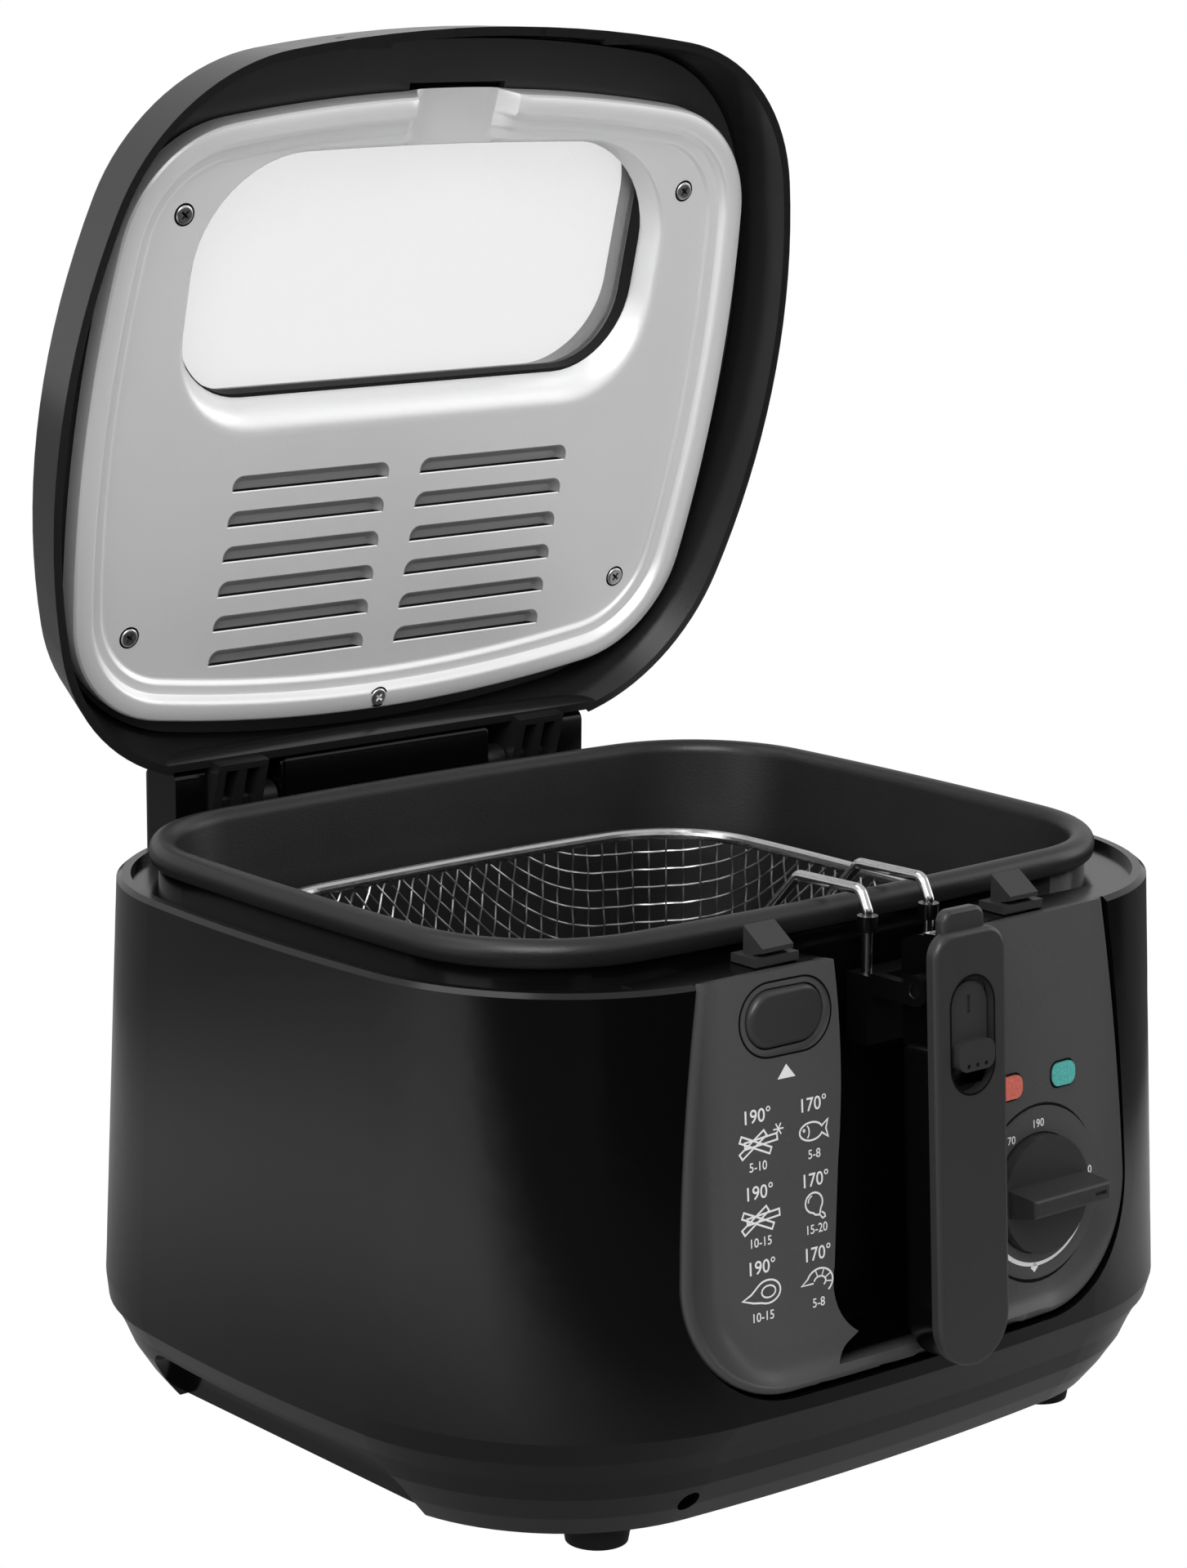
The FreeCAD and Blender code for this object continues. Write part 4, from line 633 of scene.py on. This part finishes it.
# ---------------------------------------------------------------- pot and hinge
POT_PLAN = Plan(half_w=120.9, half_d=98.6, front_r=1150.0, side_r=1030.0, corner_r=46.0, mid_y=4.2)
POT_PARTS = (12, 16, 12)
# section up the outside, from the floor to the turned-out flange under the rim: outset and z
POT_OUTSIDE = [(-37.8, 35.8), (-32.6, 38.6), (-27.6, 43.3), (-23.6, 49.3), (-21.8, 56.0),
               (-6.2, 157.4), (-0.9, 157.4), (-0.35, 158.0)]
POT_RIM_R = 3.7
POT_RIM_Z = 160.9
# the round at the foot of the inside
POT_FOOT_R = 18.0
POT_FOOT_OUTSET = -41.4
POT_FOOT_Z = 56.0


def pot():
    """Pot with its thick rolled rim, as one skin from the outside of its floor to the inside."""
    rim = arc(-POT_RIM_R, POT_RIM_Z, POT_RIM_R, POT_RIM_R, 0, 180, 14)
    foot = arc(POT_FOOT_OUTSET, POT_FOOT_Z, POT_FOOT_R, POT_FOOT_R, 0, -90, 8)
    loops = [plan_loop(POT_PLAN, outset, z, POT_PARTS) for outset, z in POT_OUTSIDE + rim + foot]
    skin = join([loft(loops), fill(loops[0], flip=True), fill(loops[-1])])
    obj = piece("pot_skin", *skin, COATING, "fryer_body")
    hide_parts("pot")


# The roll's section is an arc, in degrees, from the front over the top to the back.
ROLL_START, ROLL_END = 195, 0
ROLL_R = 1.9
ROLL_Y = 116.9
ROLL_Z = 170.4
ROLL_HALF_W = 38.6
ROLL_FOOT = (115.0, 157.0)


def hinge_roll():
    """Rolled top edge of the hinge cover, and the strip of the cover below it."""
    profile = [ROLL_FOOT] + arc(ROLL_Y, ROLL_Z, ROLL_R, ROLL_R, ROLL_START, ROLL_END, 12)
    left = [(-ROLL_HALF_W, y, z) for y, z in profile]
    right = [(ROLL_HALF_W, y, z) for y, z in profile]
    verts, faces = loft([left, right], closed=False)
    count = len(profile)
    ends = [tuple(range(count)), tuple(reversed(range(count, 2 * count)))]
    obj = piece("hinge_cover_roll", verts, faces + ends, GLOSS, "fryer_body")
    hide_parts("hinge_cover")


# ---------------------------------------------------------------- basket
BASKET_PLAN = Plan(half_w=88.0, half_d=73.0, front_r=900.0, side_r=800.0, corner_r=34.0, mid_y=7.0)
BASKET_PARTS = (12, 20, 14)
# section down the wall and round its foot: z and outset
BASKET_WALL = [(139.6, -0.8), (58.0, -7.9), (52.5, -9.2), (49.4, -11.4), (47.4, -14.6),
               (46.6, -18.4)]
BASKET_FLOOR_Z = 46.5
BASKET_FLOOR_OUTSET = -18.0
# the wires are counted from the point of the wall that is nearest to this, at the front left
BASKET_START = (-62, -53)
MESH_PITCH = 5.5
MESH_WIRE_R = 0.36
MESH_WIRE_SIDES = 5
MESH_CRIMP = 0.3
MESH_STEP = 2.0
FLOOR_CRIMP = 0.25
FLOOR_STEP = 5
FLOOR_REACH = 30  # wires to each side of the middle that are tried
# The mesh is draped, so its wires run askew. These values stand at the corners and middles of
# the rim in turn, from the front left clockwise: front left, left, back left, back and so on.
MESH_FALL = [0.0, 1.0, 1.5, 1.0, 0.0, -1.0, -1.5, -1.0]
MESH_SLANT = [0.0, -0.2, -0.9, -0.25, 0.0, 0.2, 0.9, 0.25]


def mesh_wire(points):
    return tube(points, MESH_WIRE_R, MESH_WIRE_SIDES)


def running_lengths(points):
    """Length along a line of points, at each of them."""
    run = [0.0]
    for a, b in zip(points, points[1:]):
        run.append(run[-1] + math.dist(a, b))
    return run


def spot(run, s):
    """The stretch of a line that holds length s, and the share of the stretch before s."""
    i = max(0, min(len(run) - 2, bisect.bisect_right(run, s) - 1))
    return i, (s - run[i]) / (run[i + 1] - run[i])


def wall_tools():
    """Length round the basket's wall, length down it, and a function from both to a point.

    The function also gives the outward direction there.
    """
    base = plan_loop(BASKET_PLAN, 0.0, 0.0, BASKET_PARTS)
    outer = plan_loop(BASKET_PLAN, 1.0, 0.0, BASKET_PARTS)
    start = min(range(len(base)), key=lambda i: math.dist(base[i][:2], BASKET_START))
    order = [(start - i) % len(base) for i in range(len(base) + 1)]
    run = running_lengths([base[i] for i in order])
    down = running_lengths(BASKET_WALL)
    base = [Vector(base[i]) for i in order]
    outer = [Vector(outer[i]) for i in order]

    def at(s, h):
        i, t = spot(run, s % run[-1])
        p = base[i].lerp(base[i + 1], t)
        q = outer[i].lerp(outer[i + 1], t)
        k, u = spot(down, max(0.0, min(down[-1], h)))
        z, out = (a * (1 - u) + b * u for a, b in zip(BASKET_WALL[k], BASKET_WALL[k + 1]))
        normal = (q - p).normalized()
        return p + normal * out + Vector((0, 0, z)), normal

    return run[-1], down[-1], at


def round_the_rim(share, values):
    """Value at a share of the way round, on a smooth curve through evenly spread values."""
    x = share * len(values)
    i = int(x) % len(values)
    t = smoothstep(x - int(x))
    return values[i] * (1 - t) + values[(i + 1) % len(values)] * t


def wires_down(length, depth, at):
    """Crimped wires that run down the wall."""
    wires = []
    count = int(length / MESH_PITCH)
    steps = int(depth / (MESH_PITCH / 2))
    for i in range(count):
        start = length * i / count
        slant = round_the_rim(start / length, MESH_SLANT)
        points = []
        for k in range(steps + 1):
            h = depth * k / steps
            p, n = at(start + slant * h, h)
            points.append(p + n * (MESH_CRIMP if (k // 2 + i) % 2 else -MESH_CRIMP) * (k % 2))
        wires.append(mesh_wire(points))
    return wires


def wires_round(length, depth, at):
    """Crimped wires that run round the wall, rising and falling with the drape."""
    total = int(length / MESH_STEP)
    fall = [0.0]
    for i in range(total):
        slope = round_the_rim(i * MESH_STEP / length, MESH_FALL)
        fall.append(fall[-1] + slope * MESH_STEP)
    runs = []
    offset = -max(fall) - 1
    while offset < depth:
        run = []
        for i in range(total + 1):
            h = fall[i] + offset
            if 0 <= h <= depth:
                p, n = at(i * MESH_STEP, h)
                run.append(p + n * MESH_CRIMP * math.sin(i * MESH_STEP / MESH_PITCH * math.pi))
            else:
                runs.append(run)
                run = []
        runs.append(run)
        offset += MESH_PITCH
    return [mesh_wire(run) for run in runs if len(run) > 2]


def floor_wires():
    """Two families of crimped wires across the basket's floor, at right angles."""
    wires = []
    rim = [Vector(p) for p in plan_loop(BASKET_PLAN, BASKET_FLOOR_OUTSET, BASKET_FLOOR_Z)]
    for turn in (math.radians(45), math.radians(-45)):
        across = Vector((-math.sin(turn), math.cos(turn), 0))
        for k in range(-FLOOR_REACH, FLOOR_REACH + 1):
            offset = k * MESH_PITCH
            ends = []
            for a, b in zip(rim, rim[1:] + rim[:1]):
                u, v = a.dot(across) - offset, b.dot(across) - offset
                if (u < 0) != (v < 0):
                    ends.append(a.lerp(b, u / (u - v)))
            if len(ends) == 2:
                n = max(2, int((ends[0] - ends[1]).length / FLOOR_STEP))
                wires.append(mesh_wire([
                    ends[0].lerp(ends[1], i / n) + Vector((0, 0, FLOOR_CRIMP * (-1) ** (i + k)))
                    for i in range(n + 1)]))
    return wires


def basket_mesh():
    """Woven mesh of the basket: two families of wires draped round the wall, and a floor."""
    tools = wall_tools()
    wires = wires_down(*tools) + wires_round(*tools) + floor_wires()
    obj = piece("basket_mesh", *join(wires), NET, "basket_set", smooth=60)
    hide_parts("basket")


# ---------------------------------------------------------------- printing on the panel
PRINT_LIFT = 0.06
THICK, MEDIUM, THIN, FINE = 0.5, 0.45, 0.4, 0.35  # widths of the printed lines
FACE_SIZE = 1.38  # size of the built-in face for figures that are 1 high
FACE_BOLD = 0.010


def on_panel(x, z):
    """Point just off the curved face of the panel, before it leans."""
    return (x, PANEL_Y + x * x / PANEL_BULGE - PRINT_LIFT, z)


def stroke(points, width, closed=False):
    """Flat band along points in x and z, with mitred joints."""
    pts = [Vector(p) for p in points]
    n = len(pts)
    left, right = [], []
    for i, p in enumerate(pts):
        if closed:
            a, b = pts[i - 1], pts[(i + 1) % n]
        else:
            a, b = pts[max(i - 1, 0)], pts[min(i + 1, n - 1)]
        d1 = (p - a).normalized() if (p - a).length > 1e-6 else (b - p).normalized()
        d2 = (b - p).normalized() if (b - p).length > 1e-6 else d1
        t = (d1 + d2).normalized() if (d1 + d2).length > 1e-3 else d1
        m = Vector((-t.y, t.x))
        mitre = 1 / max(0.5, abs(m.dot(Vector((-d1.y, d1.x)))))
        left.append(p + m * width / 2 * mitre)
        right.append(p - m * width / 2 * mitre)
    verts = [on_panel(v.x, v.y) for v in left + right]
    faces = []
    for i in range(n if closed else n - 1):
        j = (i + 1) % n
        faces.append((i, j, n + j, n + i))
    return verts, faces


def words(text, x, z, height, spread=1.0):
    """Numbers set in the built-in face, centred on a point of the panel."""
    curve = bpy.data.curves.new("print", "FONT")
    curve.body = text
    curve.size = height * FACE_SIZE
    curve.align_x = "CENTER"
    curve.align_y = "CENTER"
    curve.resolution_u = 4
    curve.offset = FACE_BOLD * height
    obj = bpy.data.objects.new("print", curve)
    SCENE.collection.objects.link(obj)
    bpy.context.view_layer.update()
    graph = bpy.context.evaluated_depsgraph_get()
    mesh = bpy.data.meshes.new_from_object(obj.evaluated_get(graph))
    verts = [on_panel(x + v.co.x * spread, z + v.co.y) for v in mesh.vertices]
    faces = [tuple(p.vertices) for p in mesh.polygons]
    bpy.data.objects.remove(obj)
    bpy.data.curves.remove(curve)
    bpy.data.meshes.remove(mesh)
    return verts, faces


def bar(cx, cz, length, height, angle):
    """Outline of one chip, turned by an angle in degrees."""
    c, s = math.cos(math.radians(angle)), math.sin(math.radians(angle))
    half, h = length / 2, height / 2
    return [(cx + a * c - b * s, cz + a * s + b * c)
            for a, b in ((-half, -h), (half, -h), (half, h), (-half, h))]


def chips(x, z):
    """Three crossed chips."""
    outlines = (bar(x - 1.4, z - 0.2, 9.6, 1.7, 33), bar(x - 0.6, z - 0.4, 10.6, 1.7, -24),
                bar(x + 1.2, z + 0.3, 10.6, 1.7, 5))
    return [stroke(outline, THICK, True) for outline in outlines]


def frozen_chips(x, z):
    """Three crossed chips with a frost star beside them."""
    star_x, star_z, reach = x + 7.0, z + 2.6, 1.7
    parts = chips(x, z)
    for turn in (0, 60, 120):
        c, s = reach * math.cos(math.radians(turn)), reach * math.sin(math.radians(turn))
        parts.append(stroke([(star_x - c, star_z - s), (star_x + c, star_z + s)], THIN))
    return parts


def fish(x, z):
    body = arc(x - 0.8, z, 3.9, 2.4, 25, 335, 20)
    tail = [(x + 2.8, z - 0.9), (x + 4.9, z - 2.3), (x + 4.2, z), (x + 4.9, z + 2.3),
            (x + 2.8, z + 0.9)]
    eye = arc(x - 3.2, z + 0.5, 0.3, 0.3, 0, 360, 8)
    gill = arc(x - 3.0, z, 1.5, 2.0, -55, 55, 8)
    return [stroke(body + tail, THICK, True), stroke(eye, FINE), stroke(gill, THIN)]


def drumstick(x, z):
    meat = arc(x - 0.6, z + 0.9, 2.9, 2.7, -38, 262, 20) + [(x - 0.2, z - 2.4), (x + 1.2, z - 2.6)]
    bone = [(x + 1.1, z - 2.4), (x + 2.2, z - 3.7), (x + 3.1, z - 3.4), (x + 2.9, z - 2.6),
            (x + 1.9, z - 1.9)]
    shine = arc(x - 0.9, z + 1.3, 1.6, 1.5, 100, 190, 8)
    return [stroke(meat, THICK, True), stroke(bone, MEDIUM), stroke(shine, FINE)]


def cutlet(x, z):
    meat = arc(x + 1.9, z + 0.2, 4.1, 3.1, 140, -120, 18)
    body = [(x - 6.4, z - 0.9), (x - 3.6, z + 0.3)] + meat + [(x - 3.0, z - 2.0)]
    bone = arc(x + 2.1, z + 0.2, 2.3, 1.6, 0, 360, 14)
    return [stroke(body, THICK, True), stroke(bone, MEDIUM)]


def prawn(x, z):
    cx, cz = x + 0.6, z - 0.6
    back, belly = (4.4, 3.5), (2.0, 1.4)
    head = [(x - 3.6, z + 0.6), (x - 5.6, z - 0.8), (x - 1.6, z - 0.8)]
    parts = [stroke(arc(cx, cz, *back, 160, -50, 18), THICK),
             stroke(arc(cx, cz, *belly, 170, -50, 14), MEDIUM), stroke(head, MEDIUM)]
    for turn in (110, 70, 30, -10):
        c, s = math.cos(math.radians(turn)), math.sin(math.radians(turn))
        parts.append(stroke([(cx + a * c, cz + b * s) for a, b in (belly, back)], FINE))
    return parts


# Each column of the chart has a place and, from the top, a pictogram, a temperature and a time.
CHART_LEFT_X = -58.2
CHART_LEFT = [(frozen_chips, "190°", "5-10"), (chips, "190°", "10-15"),
              (cutlet, "190°", "10-15")]
CHART_RIGHT_X = -39.5
CHART_RIGHT = [(fish, "170°", "5-8"), (drumstick, "170°", "15-20"), (prawn, "170°", "5-8")]
# heights of the temperature, the pictogram and the time of each row
CHART_ROWS = [(118.4, 111.4, 105.2), (98.3, 91.4, 85.2), (78.5, 71.6, 65.4)]
WARMTH_H = 3.7
TIME_H = 2.5
TIME_SPREAD = 0.95
ARROW = [(-51.0, 126.9), (-45.0, 126.9), (-48.0, 130.6)]


def chart():
    """Temperatures, times and plain pictograms printed beside the handle."""
    parts = [facet([on_panel(*p) for p in ARROW])]
    for x, column in ((CHART_LEFT_X, CHART_LEFT), (CHART_RIGHT_X, CHART_RIGHT)):
        for (icon, warmth, time), (warmth_z, icon_z, time_z) in zip(column, CHART_ROWS):
            parts.append(words(warmth, x, warmth_z, WARMTH_H))
            parts.append(words(time, x, time_z, TIME_H, TIME_SPREAD))
            parts += icon(x, icon_z)
    piece("panel_print", *join(parts), PRINT, "fryer_body", smooth=0, place=PANEL_LEAN)


DIAL_X = 44.0
DIAL_Z = 78.2
DIAL_D = 48.8
DIAL_SINK = 0.2
DIAL_FIGURE_H = 2.3
DIAL_FIGURES = [("190", 44.6, 97.4), ("170", 33.3, 94.4), ("0", 64.7, 80.6)]
DIAL_MARK = [(41.9, 58.9), (43.4, 57.5), (41.9, 56.1), (40.4, 57.5)]
OFF_DOT_X, OFF_DOT_Z, OFF_DOT_R = 64.2, 77.2, 0.55
OFF_DOT_SIDES = 10
# The wedge scale sweeps round the dial, in degrees, and its line grows wider on the way.
WEDGE_R = 20.0
WEDGE_START, WEDGE_SWEEP = -6, -200
WEDGE_W, WEDGE_GROWTH = 0.35, 1.5
WEDGE_STEPS = 40


def dial_print():
    """Figures, wedge scale and marks, flat on the dial's ring."""
    parts = [words(text, x, z, DIAL_FIGURE_H) for text, x, z in DIAL_FIGURES]
    dot = circle(OFF_DOT_X, OFF_DOT_Z, OFF_DOT_R, OFF_DOT_SIDES)
    parts.append(facet([on_panel(*p) for p in dot]))
    inner, outer = [], []
    for i in range(WEDGE_STEPS + 1):
        a = math.radians(WEDGE_START + WEDGE_SWEEP * i / WEDGE_STEPS)
        half = (WEDGE_W + WEDGE_GROWTH * (i / WEDGE_STEPS)) / 2
        for line, r in ((inner, WEDGE_R - half), (outer, WEDGE_R + half)):
            line.append(on_panel(DIAL_X + r * math.cos(a), DIAL_Z + r * math.sin(a)))
    parts.append(loft([outer, inner], closed=False))
    parts.append(facet([on_panel(*p) for p in DIAL_MARK]))
    verts, faces = join(parts)
    y = on_panel(DIAL_X, DIAL_Z)[1] + DIAL_SINK
    verts = [(x, y, z) for x, _, z in verts]
    piece("dial_print", verts, faces, PRINT, "fryer_body", smooth=0, place=PANEL_LEAN)


# ---------------------------------------------------------------- seams and dots
Rounded = namedtuple("Rounded", "x z width height radius")
DIAL = Rounded(DIAL_X, DIAL_Z, DIAL_D, DIAL_D, DIAL_D / 2)
BUTTON = Rounded(x=-47.6, z=142.9, width=30.0, height=19.3, radius=9.6)
LAMPS = [Rounded(x, z=109.6, width=9.1, height=6.5, radius=2.4) for x in (33.0, 55.0)]
SLIDE_RECESS = Rounded(x=0.0, z=133.6, width=15.8, height=31.4, radius=7.9)
# how far a dark seam reaches inside the outline that it runs round, and outside it
SEAM_IN = 0.1
DIAL_SEAM, BUTTON_SEAM, LAMP_SEAM = 0.55, 0.45, 0.6
RECESS_SEAM_IN, RECESS_SEAM = 0.15, 0.5


def seam(shape, inner, outer, on_face):
    """Thin line round a rounded rectangle, from inside its edge to outside it, laid on a face."""
    x, z, width, height, radius = shape
    loops = [rounded(x, z, width + 2 * g, height + 2 * g, [radius + g] * 4, 0.0, steps=12)
             for g in (-inner, outer)]
    return loft([[on_face(a, b) for a, b, _ in loop] for loop in loops])


def panel_gaps():
    """Dark seams round the dial, the release button and the lamps."""
    parts = [seam(DIAL, SEAM_IN, DIAL_SEAM, on_panel), seam(BUTTON, SEAM_IN, BUTTON_SEAM, on_panel)]
    parts += [seam(lamp, SEAM_IN, LAMP_SEAM, on_panel) for lamp in LAMPS]
    piece("panel_gaps", *join(parts), DARK, "fryer_body", smooth=0, place=PANEL_LEAN)


def on_handle(x, z):
    """Point just off the flat face of the upright handle."""
    return (x, HANDLE_Y - PRINT_LIFT, z)


def handle_seam():
    """Dark seam round the slide's recess in the handle."""
    band = seam(SLIDE_RECESS, RECESS_SEAM_IN, RECESS_SEAM, on_handle)
    piece("handle_seam", *band, DARK, "handle", smooth=0, place=HANDLE_LEAN)


SLIDE_LIP = 1.66  # how far the slide's thumb lip stands out from the handle's face
DOT_R = 0.55
DOT_SIDES = 16
DOT_PITCH = 3.2
DOT_Z = 125.9


def slide_dots():
    """Three grip dots on the thumb lip of the slide."""
    dots = []
    for x in (-DOT_PITCH, 0.0, DOT_PITCH):
        dot = circle(x, DOT_Z, DOT_R, DOT_SIDES)
        dots.append(facet([(a, HANDLE_Y - SLIDE_LIP, b) for a, b in dot]))
    piece("slide_dots", *join(dots), DARK, "handle_lock", smooth=0, place=HANDLE_LEAN)


CATCH_Z = 146.0
CATCH_W = 15.0
CATCH_H = 42.0
CATCH_R = 3.2
# section through the cap's soft edges, from its front to its back: inset and y
CATCH_EDGE = [(1.0, -131.7), (0.3, -131.4), (0.0, -130.9), (0.0, -128.5), (0.5, -127.9)]


def catch_cap():
    """Catch above the handle's top, with rounded corners and soft edges."""
    loops = []
    for inset, y in CATCH_EDGE:
        width, height = CATCH_W - 2 * inset, CATCH_H - 2 * inset
        ring = rounded(0.0, CATCH_Z, width, height, [CATCH_R - inset] * 4, 0.0)
        loops.append([(x, y, z) for x, z, _ in ring])
    cap = join([loft(loops), facet(loops[0]), facet(loops[-1], flip=True)])
    obj = piece("catch_cap", *cap, SATIN, "handle_lock", smooth=50, place=HANDLE_LEAN)
    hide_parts("lock_catch")


# ---------------------------------------------------------------- stage, light and camera
WHITE = (1, 1, 1, 1)
FLOOR_HALF = 6
# The floor's glow in reflections is painted light with a painted shadow: it grows with the
# distance from the object's middle, and painted shade makes it fall off along each of these
# axes from near to far, to a share.
PAINTED_SHADOW_NEAR, PAINTED_SHADOW_FAR = 0.18, 0.50
PAINTED_SHADOW_LOW, PAINTED_GLOW_HIGH = 0.26, 0.95
PAINTED_SHADE_FALLS = [("X", 0.26, 0.46, 0.10), ("X", -0.45, -0.95, 0.6), ("Y", 0.05, 0.55, 0.2),
              ("Y", -0.17, -0.34, 0.06)]
FILL_LIGHT = 0.60


def seen_directly(tree, path):
    """Factor that is 1 for camera and transmission rays, and 0 for the rest."""
    rays = (path.outputs["Is Camera Ray"], path.outputs["Is Transmission Ray"])
    return math_node(tree, "MAXIMUM", *rays)


def card(name, half_w, half_h, mat):
    """Flat card in the XY plane, not yet placed."""
    corners = [(-half_w, -half_h, 0), (half_w, -half_h, 0), (half_w, half_h, 0),
               (-half_w, half_h, 0)]
    mesh = bpy.data.meshes.new(name)
    mesh.from_pydata(corners, [], [(0, 1, 2, 3)])
    mesh.materials.append(mat)
    obj = bpy.data.objects.new(name, mesh)
    SCENE.collection.objects.link(obj)
    return obj


def floor_pale():
    """White to the camera, glowing with painted light and shadow in reflections, and pale paper to
    the rest.
    """
    mat, tree, paper = new_material("floor_pale")
    feed(tree, paper, {"Base Color": (0.8, 0.8, 0.8, 1), "Roughness": 0.9})
    path = add_node(tree, "LightPath")
    place = object_place(tree)
    away = add_node(tree, "VectorMath", {0: place}, operation="LENGTH").outputs["Value"]
    strength = map_range(tree, away, {"From Min": PAINTED_SHADOW_NEAR, "From Max": PAINTED_SHADOW_FAR,
                                      "To Min": PAINTED_SHADOW_LOW, "To Max": PAINTED_GLOW_HIGH},
                         interpolation_type="SMOOTHSTEP")
    axes = split_axes(tree, place)
    for axis, near, far, low in PAINTED_SHADE_FALLS:
        fall = map_range(tree, axes[axis], {"From Min": near, "From Max": far, "To Min": 1.0,
                                            "To Max": low})
        strength = math_node(tree, "MULTIPLY", strength, fall)
    # painted light and shadow, seen in reflections only
    painted_glow = add_node(tree, "Emission", {"Color": WHITE, "Strength": strength})
    white = add_node(tree, "Emission", {"Color": WHITE})
    mirrored = blend_shaders(tree, path.outputs["Is Glossy Ray"], paper, painted_glow)
    show_on_surface(tree, blend_shaders(tree, seen_directly(tree, path), mirrored, white))
    return mat


def floor():
    """Pale floor under the fryer."""
    obj = card("floor", FLOOR_HALF, FLOOR_HALF, floor_pale())


def world():
    """White surroundings for the camera, and a soft fill for the rest."""
    made = bpy.data.worlds.new("studio")
    SCENE.world = made
    made.use_nodes = True
    tree = made.node_tree
    tree.nodes.clear()
    factor = seen_directly(tree, add_node(tree, "LightPath"))
    soft = add_node(tree, "Background", {"Color": WHITE, "Strength": FILL_LIGHT})
    white = add_node(tree, "Background", {"Color": WHITE, "Strength": 1.0})
    mixed = blend_shaders(tree, factor, soft, white)
    add_node(tree, "OutputWorld", {"Surface": mixed.outputs[0]})


def mirrored_black():
    """Black in reflections only, and clear to every other ray."""
    mat, tree, black = new_material("mirrored_black")
    feed(tree, black, {"Base Color": (0.002, 0.002, 0.002, 1), "Specular IOR Level": 0.0})
    path = add_node(tree, "LightPath")
    clear = add_node(tree, "BsdfTransparent")
    show_on_surface(tree, blend_shaders(tree, path.outputs["Is Glossy Ray"], clear, black))
    return mat


def flag(name, middle, aim, width, height):
    """Black card that keeps a glossy face dark and is seen nowhere else."""
    obj = card(name, width / 2, height / 2, mirrored_black())
    turn = (Vector(aim) - Vector(middle)).to_track_quat("Z", "Y").to_matrix().to_4x4()
    obj.matrix_world = Matrix.Translation(middle) @ turn


def softbox(name, place, aim, width, height, power):
    """Soft light that faces a point, with its size in metres and its power in watts."""
    light = bpy.data.lights.new(name, "AREA")
    light.shape = "RECTANGLE"
    light.size = width
    light.size_y = height
    light.energy = power
    obj = bpy.data.objects.new(name, light)
    obj.location = place
    obj.rotation_mode = "QUATERNION"
    obj.rotation_quaternion = (Vector(aim) - Vector(place)).to_track_quat("-Z", "Y")
    SCENE.collection.objects.link(obj)


# The camera looks to the right of +Y and down, and is rolled by a little, in degrees.
CAMERA_PLACE = (-0.72695, -0.8331, 0.41547)
CAMERA_RIGHT, CAMERA_DOWN, CAMERA_ROLL = 40.261, 12.104, 0.459
SENSOR_W = 36.0
LENS = 91.56769
LENS_SHIFT_X, LENS_SHIFT_Y = 0.0099167, -0.00065625


def camera():
    """Camera that stands where the photo was taken from."""
    az, el, roll = (math.radians(a) for a in (CAMERA_RIGHT, CAMERA_DOWN, CAMERA_ROLL))
    ahead = Vector((math.sin(az) * math.cos(el), math.cos(az) * math.cos(el), -math.sin(el)))
    level = Vector((math.cos(az), -math.sin(az), 0))
    up = level.cross(ahead)
    right = math.cos(roll) * level + math.sin(roll) * up
    top = -math.sin(roll) * level + math.cos(roll) * up
    data = bpy.data.cameras.new("camera")
    data.sensor_width = SENSOR_W
    data.sensor_fit = "AUTO"
    data.lens = LENS
    data.shift_x = LENS_SHIFT_X
    data.shift_y = LENS_SHIFT_Y
    data.clip_start = 0.05
    data.clip_end = 30
    obj = bpy.data.objects.new("camera", data)
    turn = Matrix((right, top, -ahead)).transposed()
    obj.matrix_world = Matrix.Translation(CAMERA_PLACE) @ turn.to_4x4()
    SCENE.collection.objects.link(obj)
    SCENE.camera = obj


liner()
pot()
for number, place in enumerate([*LINER_SCREWS, BACK_SCREW]):
    screw_head("liner_screw_%d" % number, *place)
basket_mesh()
chart()
dial_print()
panel_gaps()
handle_seam()
slide_dots()
catch_cap()
hinge_roll()
floor()
world()
softbox("left", place=(-2.1, -0.35, 0.9), aim=(0, 0, 0.15), width=2.0, height=1.3, power=9)
softbox("key", place=(-1.3, -1.3, 1.8), aim=(0, 0, 0.2), width=1.5, height=1.3, power=38)
softbox("top", place=(-0.8, 0.3, 2.0), aim=(0, 0, 0.2), width=1.4, height=1.2, power=7)
softbox("right", place=(1.7, -0.7, 0.6), aim=(0, 0, 0.15), width=1.0, height=1.4, power=6)
flag("flag_front", middle=(0.07, -0.51, 0.14), aim=(0.033, -0.417, 0.14), width=0.86, height=0.28)
flag("flag_camera", middle=(-0.98, -1.00, 0.30), aim=(-0.49, -0.50, 0.30), width=1.40, height=0.60)
camera()
SCENE.view_settings.view_transform = "Standard"
